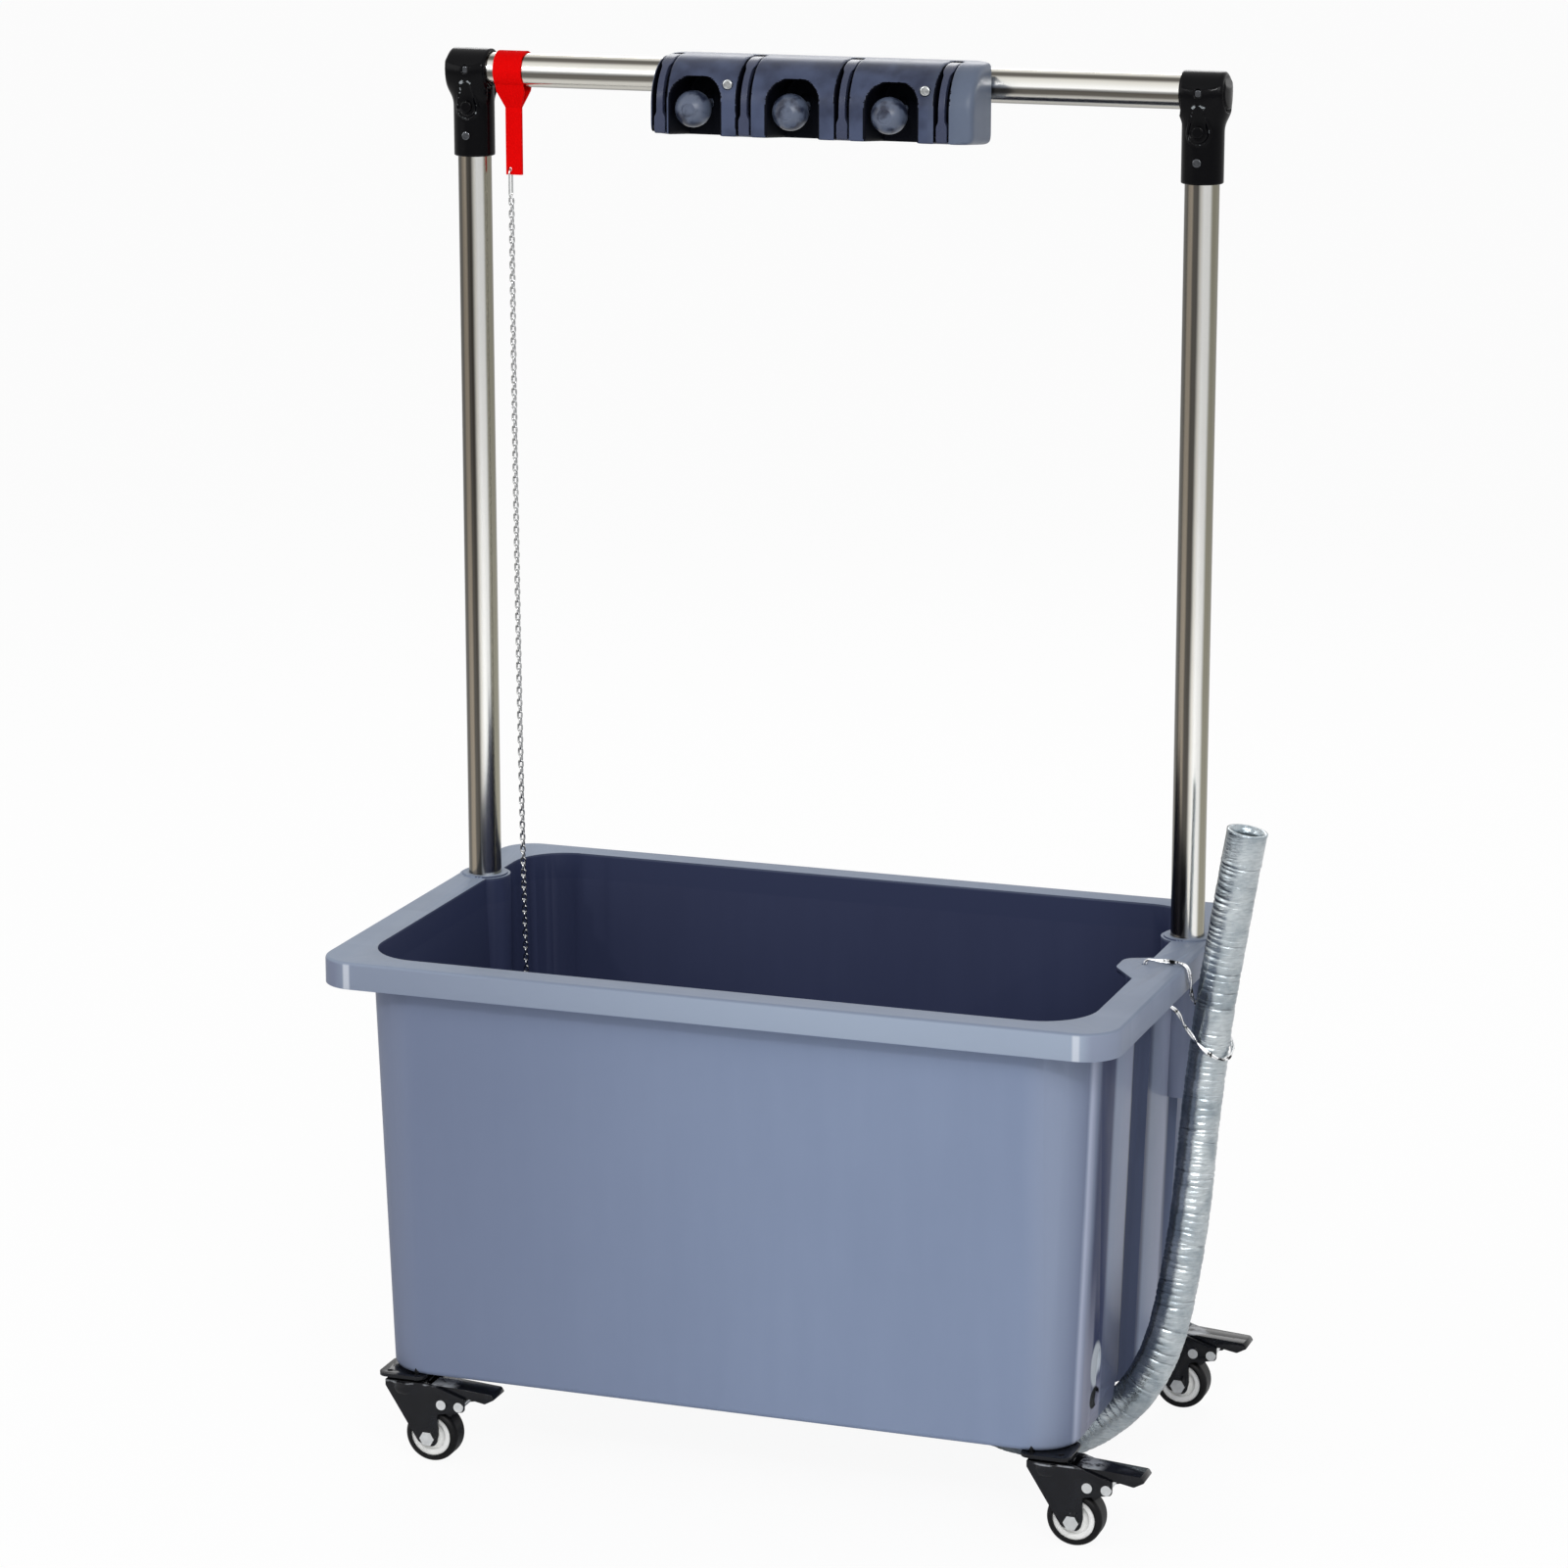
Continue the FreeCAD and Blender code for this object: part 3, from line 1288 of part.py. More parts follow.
def make_drain():
    lip = floor_top + s.flange_height
    keep("drain_flange", turned("drain_flange", [
        (s.throat_bore, lip - s.flange_height / 2), (s.throat_bore + s.flange_height / 2, lip),
        (s.flange_radius - s.flange_height, lip), (s.flange_radius, floor_top),
        (s.throat_radius, floor_top), (s.throat_radius, floor_top - s.tail_length),
        (s.throat_bore, floor_top - s.tail_length)]))
    gasket = body_of("drain_gasket")
    ring = circle(sketch_on(gasket, "XY_Plane", tub_base - s.gasket_thickness), 0, 0,
                  s.gasket_radius)
    circle(ring, 0, 0, s.throat_radius + s.thread_fit)
    pad(gasket, ring, s.gasket_thickness)
    keep("drain_gasket", gasket)
    nut_top = tub_base - s.gasket_thickness
    nut = body_of("drain_nut")
    hexes = outline(sketch_on(nut, "XY_Plane", nut_top - s.nut_height), hexagon(s.nut_across))
    circle(hexes, 0, 0, s.throat_radius + s.thread_fit)
    pad(nut, hexes, s.nut_height)
    keep("drain_nut", nut)

    trap_top = nut_top - s.nut_height - s.clearance
    trap_base = trap_top - s.trap_height
    cup = cylinder("cup", s.trap_radius, s.trap_height, 0, 0, trap_base)
    barb = cylinder("barb", s.outlet_radius, s.outlet_reach, 0, 0, s.outlet_height, (0, 1, 0))
    collar = cylinder("collar", s.outlet_collar, s.hose_start - s.clearance,
                      0, 0, s.outlet_height, (0, 1, 0))
    tail_base = floor_top - s.tail_length - s.clearance
    socket = cylinder("socket", s.throat_radius + s.thread_fit, trap_top - tail_base + s.overrun,
                      0, 0, tail_base)
    well = cylinder("well", s.throat_bore, tail_base - trap_base, 0, 0, trap_base + s.trap_wall)
    outlet = cylinder("outlet", s.outlet_bore, s.outlet_reach + s.overrun,
                      0, 0, s.outlet_height, (0, 1, 0))
    keep("drain_elbow", cut("drain_elbow", fuse("trap", [cup, barb, collar]),
                            [socket, well, outlet]))

    plug_base = lip + s.clearance
    top = plug_base + s.plug_flange_height
    eye = top + s.plug_boss_height - s.plug_eye_drop
    plug = turned("plug blank", [
        (0, plug_base - s.plug_depth), (s.plug_radius - s.plug_taper, plug_base - s.plug_depth),
        (s.plug_radius, plug_base), (s.plug_flange, plug_base), (s.plug_flange, top),
        (s.plug_boss_radius, top), (s.plug_boss_radius, top + s.plug_boss_height),
        (0, top + s.plug_boss_height)])
    eye_hole = cylinder("eye", s.plug_eye_radius,
                        s.plug_boss_radius * 2 + s.overrun, 0,
                        s.plug_boss_radius + s.overrun / 2, eye, (1, 0, 0))
    keep("drain_plug", cut("drain_plug", plug, [eye_hole]))
    keep("plug_ring", torus("plug_ring", s.plug_ring_radius, s.plug_ring_wire / 2,
                            shifted(-s.plug_ring_radius), 0, eye), False)


# Hose, its clamp and its tie

# The hose leaves the drain elbow under the tub, bends up through the arch in the
# right end wall and leans against the rim. Its points are in millimetres from the
# tub's middle.
hose_route = [(28, 0, 43), (105, 0, 43), (186, -17, 20), (240, -25, 32), (293, -27, 86),
              (310, -13, 180), (313, 14, 300), (324, 20, 395), (340, 20, 489)]


rib_fall, rib_floor, rib_rise = 0.15, 0.45, 0.6  # where a groove's parts end, of its pitch


def hose_sections(wire, straight_start, straight_end):
    """Distances along the hose where its radius changes, with the radius there."""
    cuff = float(s.hose_diameter) / 2
    crest = cuff - float(s.rib_setback)
    valley = crest - float(s.rib_depth)
    pitch = float(s.rib_pitch)
    sections = [(0, cuff), (straight_start, cuff)]
    last = wire.Length - straight_end
    count = int((last - straight_start) / pitch)
    step = (last - straight_start) / count
    for number in range(count):
        base = straight_start + step * number
        sections += [(base + step * rib_fall, valley), (base + step * rib_floor, valley),
                     (base + step * rib_rise, crest), (base + step, crest)]
    sections[-1] = (last, cuff)
    sections.append((wire.Length, cuff))
    return sections


def point_on(wire, distance):
    """The point and the direction at a distance along a wire."""
    for edge in wire.OrderedEdges:
        if distance <= edge.Length + SAME_PLACE:
            parameter = edge.getParameterByLength(min(distance, edge.Length))
            return edge.valueAt(parameter), edge.tangentAt(parameter)
        distance -= edge.Length
    edge = wire.OrderedEdges[-1]
    return edge.valueAt(edge.LastParameter), edge.tangentAt(edge.LastParameter)


def make_hose():
    wire, radii = route_wire(hose_route)
    straight = float(s.hose_diameter)
    circles = []
    steady = FreeCAD.Vector(0, 1, 0)
    for distance, radius in hose_sections(wire, straight, float(s.cuff_length)):
        middle, direction = point_on(wire, distance)
        steady = (steady - direction * steady.dot(direction)).normalize()
        ring = Part.Circle(middle, direction, radius)
        ring.XAxis = steady
        circles.append(Part.Wire([ring.toShape()]))
    skin = Part.makeLoft(circles, True, True)
    bore = tube_along(wire, float(s.hose_bore) / 2)
    shape = skin.cut(bore)
    mean = float(s.hose_diameter) / 2 - float(s.rib_setback) - float(s.rib_depth) / 2
    section = math.pi * (mean ** 2 - (float(s.hose_bore) / 2) ** 2)
    check_tube("drain_hose", shape, section, wire.Length, radii)
    free_shape("drain_hose", shape)
    return wire


def make_clamp():
    start = s.hose_start + s.clamp_setback
    inner = s.hose_diameter / 2 + s.running_fit
    outer = inner + s.clamp_thickness
    band = cylinder("band", outer, s.clamp_width, start, 0, s.outlet_height, (0, 1, 0))
    lug = box("lug", (start, -s.clamp_lug / 2, s.outlet_height + inner),
              (start + s.clamp_width, s.clamp_lug / 2, s.outlet_height + inner + s.clamp_lug / 2))
    screw = cylinder("clamp screw", s.clamp_lug / 4, s.clamp_lug * 2,
                     start + s.clamp_width / 2, s.clamp_lug,
                     s.outlet_height + inner + s.clamp_lug / 3, (1, 0, 0))
    hollow = cylinder("hollow", inner, s.clamp_width + s.overrun * 2, start - s.overrun, 0,
                      s.outlet_height, (0, 1, 0))
    keep("hose_clamp", cut("hose_clamp", fuse("clamp blank", [band, lug, screw]), [hollow]))


# The tie's corners with the radius of each bend, in millimetres from the tub's
# middle: up through the ear, over the rim, behind the hose and back under the rim.
tie_route = [(270.7, 1.3, 368), (270.7, 1.3, 390.1, 1.8), (289, 6, 390.1, 9),
             (302.5, 1, 390.1, 5), (303.5, 6, 376, 9), (302.5, 14, 361, 9),
             (303.5, 30, 352, 9), (316, 37.5, 346, 9), (330.5, 32.5, 341, 9),
             (337, 19, 336, 9), (333.5, 3.5, 331, 9), (321, -3.5, 330, 9),
             (309, -2.5, 336, 9), (304, -7, 348, 9), (301, -15, 359, 9),
             (297, -20, 365, 6), (288, -18, 367, 9), (279, -8, 372, 9), (275, 0, 376)]


def make_tie():
    wire, radii = route_wire(tie_route)
    shape = tube_along(wire, float(s.tie_diameter) / 2)
    section = math.pi * (float(s.tie_diameter) / 2) ** 2
    check_tube("hose_tie", shape, section, wire.Length, radii)
    free_shape("hose_tie", shape)


make_tub()
make_casters()
make_frame()
make_elbow("left_elbow", -1)
make_elbow("right_elbow", 1)
make_elbow_fasteners()
make_housing()
make_hooks()
make_rollers()
make_holder_screws()
make_strap()
ring_bottom = make_chain_ring()
make_drain()
make_chain(ring_bottom)
make_hose()
make_clamp()
make_tie()

doc.recompute()
faults = []
for item in doc.Objects:
    if "Invalid" in item.State or "Error" in item.State:
        faults.append("%s %s %s" % (item.Name, item.Label, item.State))
for node, thing in finished.items():
    if thing.Shape.isNull() or not thing.Shape.isValid() or not thing.Shape.Solids:
        faults.append("%s has no valid solid" % node)
if faults:
    raise RuntimeError("\n".join(faults))

os.makedirs("parts", exist_ok=True)
for node, thing in finished.items():
    thing.Shape.exportStep("parts/%s.step" % node)
print(len(finished), "sub-parts")
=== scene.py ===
"""The looks of a freestanding laundry sink: a moulded tub on braked casters, a tube
frame with a mop holder, a plug on a chain and a ribbed drain hose tied to the rim."""

import math
import random

import bmesh
import bpy
import numpy
from mathutils import Matrix, Vector
from mathutils.bvhtree import BVHTree


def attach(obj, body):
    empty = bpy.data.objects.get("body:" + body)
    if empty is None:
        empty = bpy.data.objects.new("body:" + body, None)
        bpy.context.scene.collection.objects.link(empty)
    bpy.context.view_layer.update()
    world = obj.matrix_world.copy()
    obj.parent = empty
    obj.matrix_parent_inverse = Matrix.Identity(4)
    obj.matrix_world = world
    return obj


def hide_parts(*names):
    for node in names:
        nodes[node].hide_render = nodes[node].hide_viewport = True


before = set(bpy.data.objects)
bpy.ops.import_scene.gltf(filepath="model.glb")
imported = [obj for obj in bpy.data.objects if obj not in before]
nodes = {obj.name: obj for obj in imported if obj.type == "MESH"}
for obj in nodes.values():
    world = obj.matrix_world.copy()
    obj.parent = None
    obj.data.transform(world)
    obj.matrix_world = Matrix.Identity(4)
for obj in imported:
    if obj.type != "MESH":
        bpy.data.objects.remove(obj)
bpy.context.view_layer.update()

MM = 0.001
TUB_SHIFT = -10.0  # the tub's middle lies this far from the part's own middle, in mm

# ---- the object's sizes, in millimetres from the middle of the tub on the floor

RIM_TOP = 388.7
RIM_HALF = (300, 188)  # half the rim's length and depth
RIM_CORNER = 28
SKIRT = 20  # how far the rim's skirt hangs down
SOCKET_REACH = 280  # sideways from the tub's middle to an upright's middle
BAR_HEIGHT = 1006.8
BAR_BACK = 86
HOLDER_CENTRE = -7
HOLDER_LEFT = -117
HOLDER_RIGHT = 128
HOLDER_BASE = 965.5
HOLDER_TOP = 1025.5
HOLDER_FRONT = 23.5
BAY_PITCH = 74.5
SWIVEL_REACH = 248
SWIVEL_SIDE = 146
RACE_CUP = [(13, 61.9), (15.4, 61.9), (16.2, 61.2), (16.2, 60.3), (15.5, 59.5), (15.2, 56),
            (14.4, 52.6), (13, 51.2)]  # radius and height round the cup's section
CORNERS = {"front_left": (-1, -1), "front_right": (1, -1),
           "back_left": (-1, 1), "back_right": (1, 1)}  # the way to each caster, in x and y


def at(x, y, z):
    """A point given in millimetres from the tub's middle, in the part's metres."""
    return Vector(((x + TUB_SHIFT) * MM, y * MM, z * MM))


# ---- materials


class Value:
    """A shader socket that can stand in Python sums."""

    def __init__(self, graph, socket):
        self.graph = graph
        self.socket = socket

    def _with(self, operation, *others):
        return self.graph.math(operation, self, *others)

    def __add__(self, other):
        return self._with("ADD", other)

    def __radd__(self, other):
        return self.graph.math("ADD", other, self)

    def __sub__(self, other):
        return self._with("SUBTRACT", other)

    def __rsub__(self, other):
        return self.graph.math("SUBTRACT", other, self)

    def __mul__(self, other):
        return self._with("MULTIPLY", other)

    def __rmul__(self, other):
        return self.graph.math("MULTIPLY", other, self)

    def __truediv__(self, other):
        return self._with("DIVIDE", other)

    def __rtruediv__(self, other):
        return self.graph.math("DIVIDE", other, self)

    def __pow__(self, other):
        return self._with("POWER", other)

    def __abs__(self):
        return self._with("ABSOLUTE")


class Finish:
    """One material with its node graph."""

    def __init__(self, name):
        self.material = bpy.data.materials.new(name)
        self.material.use_nodes = True
        self.tree = self.material.node_tree
        self.tree.nodes.clear()
        self.shader = self.tree.nodes.new("ShaderNodeBsdfPrincipled")
        output = self.tree.nodes.new("ShaderNodeOutputMaterial")
        self.tree.links.new(self.shader.outputs[0], output.inputs["Surface"])

    def node(self, kind, settings=None, values=None, output=0):
        """A node of a type, with its settings first and then its sockets."""
        node = self.tree.nodes.new(kind)
        for name, setting in (settings or {}).items():
            if name == "stops":
                self._stops(node.color_ramp, setting)
            else:
                setattr(node, name, setting)
        for name, value in (values or {}).items():
            self.feed(node.inputs[name], value)
        return Value(self, node.outputs[output])

    def _stops(self, ramp, stops):
        """Gives a colour ramp its stops."""
        while len(ramp.elements) > 1:
            ramp.elements.remove(ramp.elements[-1])
        for index, (position, colour) in enumerate(stops):
            element = ramp.elements[0] if index == 0 else ramp.elements.new(position)
            element.position = position
            element.color = colour if len(colour) == 4 else (*colour, 1)

    def feed(self, socket, value):
        """Links a value to a socket, or sets the socket to a constant."""
        if isinstance(value, Value):
            self.tree.links.new(value.socket, socket)
        else:
            socket.default_value = value

    def math(self, operation, *operands):
        node = self.tree.nodes.new("ShaderNodeMath")
        node.operation = operation
        for socket, operand in zip(node.inputs, operands):
            self.feed(socket, operand)
        return Value(self, node.outputs[0])

    def place(self):
        """The point being shaded, in the part's metres."""
        return self.node("ShaderNodeTexCoord", output="Object")

    def parts(self, vector):
        """The three parts of a vector."""
        node = self.tree.nodes.new("ShaderNodeSeparateXYZ")
        self.feed(node.inputs[0], vector)
        return [Value(self, output) for output in node.outputs]

    def painted(self, layer):
        """A number that the mesh carries at each of its points."""
        return self.node("ShaderNodeAttribute", {"attribute_name": layer}, output="Fac")

    def joined(self, x, y, z):
        return self.node("ShaderNodeCombineXYZ", values={"X": x, "Y": y, "Z": z})

    def noise(self, scale, detail=2, roughness=0.5, vector=None, distortion=0):
        return self.node("ShaderNodeTexNoise", values={
            "Vector": vector or self.place(), "Scale": scale, "Detail": detail,
            "Roughness": roughness, "Distortion": distortion})

    def step(self, value, low, high):
        """0 below low and 1 above high, with a smooth change between."""
        return self.node("ShaderNodeMapRange", {"interpolation_type": "SMOOTHSTEP"}, {
            "Value": value, "From Min": low, "From Max": high})

    def mix(self, factor, first, second):
        """A colour between two, by a factor from 0 to 1."""
        node = self.tree.nodes.new("ShaderNodeMix")
        node.data_type = "RGBA"
        self.feed(node.inputs["Factor"], factor)
        for socket, colour in ((node.inputs[6], first), (node.inputs[7], second)):
            self.feed(socket, colour if isinstance(colour, Value) else (*colour, 1))
        return Value(self, node.outputs[2])

    def surface(self, colour, roughness, bump=None, **sockets):
        """Feeds the shader; bump is a height, its distance and its strength."""
        self.feed(self.shader.inputs["Base Color"],
                  colour if isinstance(colour, Value) else (*colour, 1))
        self.feed(self.shader.inputs["Roughness"], roughness)
        for name, value in sockets.items():
            self.feed(self.shader.inputs[name.replace("_", " ")], value)
        if bump is not None:
            height, distance, strength = bump
            normal = self.node("ShaderNodeBump", values={
                "Height": height, "Distance": distance, "Strength": strength})
            self.feed(self.shader.inputs["Normal"], normal)
        return self.material


def srgb(red, green, blue):
    """A colour written as the eight-bit numbers of a screen, in linear light."""
    return tuple((c / 255 / 12.92) if c <= 10 else ((c / 255 + 0.055) / 1.055) ** 2.4
                 for c in (red, green, blue))


# the tub's painted tones of gloss and shade, from its brightest gloss to its deepest shade
BRIGHT, GLOSS, SHEEN, PLAIN, MIST, SLATE, SHADE, DUSK, DEEP = (srgb(*tone) for tone in (
    (166, 174, 196), (144, 152, 175), (132, 143, 166), (118, 130, 155), (112, 122, 146),
    (76, 84, 108), (56, 64, 94), (44, 52, 84), (20, 26, 48)))
# painted reflections and shade, in upright streaks along both end walls: place in y and tone
WALL_STREAKS = [(-158, SHEEN), (-141, MIST), (-137, BRIGHT), (-133, GLOSS), (-127, MIST),
                (-118, SHADE), (-98, DUSK), (-86, SHADE), (-78, SHEEN), (-39, GLOSS),
                (-35, DEEP), (-30, DEEP), (-24, SHADE), (0, SLATE), (12.5, SLATE),
                (22, SHEEN), (60, GLOSS), (66, GLOSS), (72, SLATE), (170, PLAIN)]
END_WALL = (228, 250)  # how far from the tub's middle the streaks start and are full
STREAK_WAVER = 4
# patches beside the scoop: the dark one is painted shade low on the wall, the pale ones are
# painted paler
PATCH_PALE = srgb(139, 142, 160)
PATCH_DARK = srgb(66, 72, 96)
WALL_PATCHES = [(-82, -37, 110, 200, PATCH_DARK), (-130, -108, 120, 210, PATCH_PALE),
                (-112, -84, 90, 112, PATCH_PALE)]  # from and to in y, full and gone in z
PATCH_EDGE = 3
SPARK = (-98, 117, 14, 18)  # the gloss over the scoop: its y and z, and its half sizes
SPARK_TONE = srgb(196, 204, 213)
SCOOP_HOLE = (-98, 92, 13, 8.5)  # the painted shade in the scoop's hole and round it: y and z, and half sizes
HOLE_TONE = srgb(3, 3, 8)
LEFT_END = TUB_SHIFT - RIM_HALF[0]
LEFT_SHADE = srgb(80, 84, 106)
GLEAM = (0.07, 0.05, 0.13)  # the streak round a rim's corner: its middle and fade, in radians
GLEAM_TONE = srgb(214, 219, 228)
TURNED_AWAY = (0.15, 0.5)  # where a rim's corner falls into shade, in radians
TURNED_TONE = srgb(104, 107, 132)
RIM_FACE = (2.2, 0.6)  # how far under the rim's top its level face starts and is full
FACE_TONE = srgb(98, 107, 128)


def on_end_walls(f, x, y, z, scuff, colour):
    """Painted upright streaks of gloss and shade on both end walls, and at the right one
    painted patches beside the scoop, a painted gloss over it and painted shade in and round its
    hole."""
    def within(oval):
        """0 in an oval's middle and 1 at its edge."""
        middle_y, middle_z, half_y, half_z = oval
        return f.math("SQRT", ((y / MM - middle_y) / half_y) ** 2
                      + ((z / MM - middle_z) / half_z) ** 2)

    low, high = WALL_STREAKS[0][0], WALL_STREAKS[-1][0]
    along = (y / MM - low + STREAK_WAVER * (scuff - 0.5)) / (high - low)
    stops = [((place - low) / (high - low), tone) for place, tone in WALL_STREAKS]
    painted_bands = f.node("ShaderNodeValToRGB", {"stops": stops}, {"Fac": along})
    end_wall = f.step(abs(x - TUB_SHIFT * MM), END_WALL[0] * MM, END_WALL[1] * MM)
    colour = f.mix(end_wall, colour, painted_bands)
    scoop_end = end_wall * f.step(x, 0, 10 * MM)
    for front, back, full, gone, tone in WALL_PATCHES:
        share = (f.step(y, (front - PATCH_EDGE) * MM, (front + PATCH_EDGE) * MM)
                 * (1 - f.step(y, (back - PATCH_EDGE) * MM, (back + PATCH_EDGE) * MM))
                 * (1 - f.step(z, full * MM, gone * MM)))
        colour = f.mix(scoop_end * share * 0.8, colour, tone)
    spark = scoop_end * (1 - f.step(within(SPARK), 0.78, 1.05))
    colour = f.mix(spark * 0.85, colour, SPARK_TONE)
    hole = scoop_end * (1 - f.step(within(SCOOP_HOLE), 0.85, 1))
    return f.mix(hole, colour, HOLE_TONE)


def on_sides(f, x, y, polished, level, colour):
    """Shade towards the left end, and a bright streak beside shade at the rim's corners."""
    left = (1 - f.step(x, LEFT_END * MM, 100 * MM)) * (1 - level)
    colour = f.mix(0.42 * left, colour, LEFT_SHADE)
    turn = f.math("ARCTAN2", abs(x - TUB_SHIFT * MM) / MM - RIM_HALF[0] + RIM_CORNER,
                  abs(y) / MM - RIM_HALF[1] + RIM_CORNER)
    middle, full, gone = GLEAM
    skirt = polished * (1 - level)
    colour = f.mix(0.4 * (skirt * f.step(turn, *TURNED_AWAY)), colour, TURNED_TONE)
    gleam = skirt * (1 - f.step(abs(turn - middle), full, gone))
    return f.mix(0.55 * gleam, colour, GLEAM_TONE)


def tub_finish(name, dark, light, rim, roughness, specular, outside):
    """Semi-gloss moulded plastic: soft clouds, fine grain, faint upright scuffs and a rim
    painted paler as light, with the walls' painted gloss and shade where it is the outside."""
    f = Finish(name)
    x, y, z = f.parts(f.place())
    cloud = f.noise(7, 3)
    scuff = f.noise(70, 4, vector=f.joined(x, y, z * 0.12))
    colour = f.mix(0.6 * cloud + 0.4 * scuff, dark, light)
    if outside:
        colour = on_end_walls(f, x, y, z, scuff, colour)
    skirt_foot = RIM_TOP - SKIRT
    # the rim and its skirt are painted paler, as light falling on them
    polished = f.step(z, (skirt_foot - 1) * MM, (skirt_foot + 1) * MM)
    colour = f.mix(polished * (0.8 + 0.2 * cloud), colour, rim)
    level = f.step(z, (RIM_TOP - RIM_FACE[0]) * MM, (RIM_TOP - RIM_FACE[1]) * MM)
    if outside:
        colour = on_sides(f, x, y, polished, level, colour)
    # the rim's level top is darkened, more so away from the left end
    face_darkening = 0.28 + 0.24 * f.step(x, LEFT_END * MM, -100 * MM)
    colour = f.mix(level * face_darkening, colour, FACE_TONE)
    rough = roughness + 0.1 * (scuff - 0.5) + 0.06 * (f.noise(60, 3) - 0.5)
    return f.surface(colour, rough, (f.noise(900, 2), 0.00006, 0.3),
                     Specular_IOR_Level=specular)


def chrome_finish(name, axis, centre, stops, mirror=1):
    """Chromed steel tube along an axis, with long streaks of painted reflection round it and
    long fine scratches along it.
    """
    f = Finish(name)
    place = f.parts(f.place())
    a, b = [k for k in range(3) if k != axis]
    u = (place[a] - centre[0]) * mirror
    v = place[b] - centre[1]
    angle = f.math("ARCTAN2", v, u) / (2 * math.pi) + 0.5
    stretch = [0.03 if k == axis else 5 for k in range(3)]
    scratch = f.noise(60, 4, vector=f.joined(*[p * s for p, s in zip(place, stretch)]))
    waver = f.noise(9, 2)
    turn = angle + 0.012 * (waver - 0.5)
    # painted reflections: bands of tone by the angle round the tube
    painted_bands = f.node("ShaderNodeValToRGB", {"stops": stops}, {"Fac": turn})
    colour = f.mix(0.16 * scratch, painted_bands, srgb(236, 234, 226))
    return f.surface(colour, 0.12 + 0.12 * scratch, (scratch, 0.00002, 0.2), Metallic=1.0)


def around(start, front, back):
    """Painted reflection streaks round a tube: a front half from the start angle, then a back
    half.
    """
    found = []
    for half, painted_bands in enumerate((front, back)):
        for share, tone in painted_bands:
            found.append(((start + (half + share) / 2) % 1.0, tone))
    return sorted(found)


def moulded_finish(name, colour, roughness, spread=0.12, **sockets):
    """Moulded plastic with a fine grain and slightly uneven colour."""
    f = Finish(name)
    cloud = f.noise(25, 3)
    fine = f.noise(1200, 2)
    darker = tuple(c * (1 - spread) for c in colour)
    lighter = tuple(min(1, c * (1 + spread)) for c in colour)
    tone = f.mix(cloud, darker, lighter)
    return f.surface(tone, roughness + 0.12 * (f.noise(120, 3) - 0.5),
                     (fine, 0.00006, 0.35), **sockets)


def metal_finish(name, colour, roughness, wear_and_glint=0.2, scale=300):
    """Plated or painted metal with small scratches."""
    f = Finish(name)
    cloud = f.noise(scale, 4)
    tone = f.mix(cloud, tuple(c * (1 - wear_and_glint) for c in colour),
                 tuple(min(1, c * (1 + wear_and_glint)) for c in colour))
    return f.surface(tone, roughness + 0.15 * (cloud - 0.5), (f.noise(2000, 2), 0.00003, 0.3),
                     Metallic=1.0)


def wire_finish():
    """Bright soft wire with dents along it, and dark reflections painted on it in black
    patches.
    """
    f = Finish("tie_wire")
    dents_and_reflections = f.noise(160, 3, 0.65)
    # painted reflections: black patches between bright ones
    tone = f.mix(f.step(dents_and_reflections, 0.4, 0.5), srgb(20, 21, 24), srgb(244, 245, 246))
    return f.surface(tone, 0.16 + 0.2 * dents_and_reflections, (dents_and_reflections, 0.0002, 0.4), Metallic=1.0)


def black_plastic_finish():
    """Glossy black plastic, with painted highlights along the oval's ridge."""
    f = Finish("black_plastic")
    scuff = f.noise(230, 3, 0.6)
    # painted highlights: pale marks where the elbow's mesh carries them, broken up by noise
    highlight_share = f.step(f.painted("painted_highlight") + 2.2 * (scuff - 0.5), 0.95, 1.3)
    tone = f.mix(highlight_share * 0.8, srgb(3, 3, 5), srgb(160, 166, 170))
    return f.surface(tone, 0.14 + 0.1 * scuff, (f.noise(260, 2), 0.0001, 0.4),
                     Specular_IOR_Level=0.1)


def gloss_black_finish():
    """Thick glossy black enamel over pressed steel, with a patchy painted highlight along the
    race cups' lips.
    """
    f = Finish("gloss_black")
    orange_peel = f.noise(450, 2)
    dust = f.noise(60, 4)
    tone = f.mix(dust, srgb(3, 3, 5), srgb(24, 26, 32))
    z = f.parts(f.place())[2]
    # a painted highlight along the race cups' lips, in patches
    lip = 1 - f.step(abs(z - RACE_CUP[2][1] * MM), 0.3 * MM, 0.9 * MM)
    tone = f.mix(0.8 * lip * f.step(f.noise(120, 3), 0.4, 0.6), tone, srgb(156, 160, 166))
    return f.surface(tone, 0.08 + 0.12 * dust, (orange_peel, 0.0001, 0.4),
                     Specular_IOR_Level=0.26)


def webbing_finish():
    """Red woven webbing: a diagonal twill in rows across the strap."""
    f = Finish("red_webbing")
    x, _, z = f.parts(f.place())
    ribs = f.math("SINE", (x + z * 0.35) * 5200)
    rows = f.math("SINE", z * 3600)
    weave = ribs * rows * 0.5 + 0.5
    fray = f.noise(700, 3)
    colour = f.mix(weave * 0.6 + fray * 0.4, srgb(198, 1, 1), srgb(234, 4, 4))
    return f.surface(colour, 0.8, (weave, 0.00025, 0.7), Specular_IOR_Level=0.04)


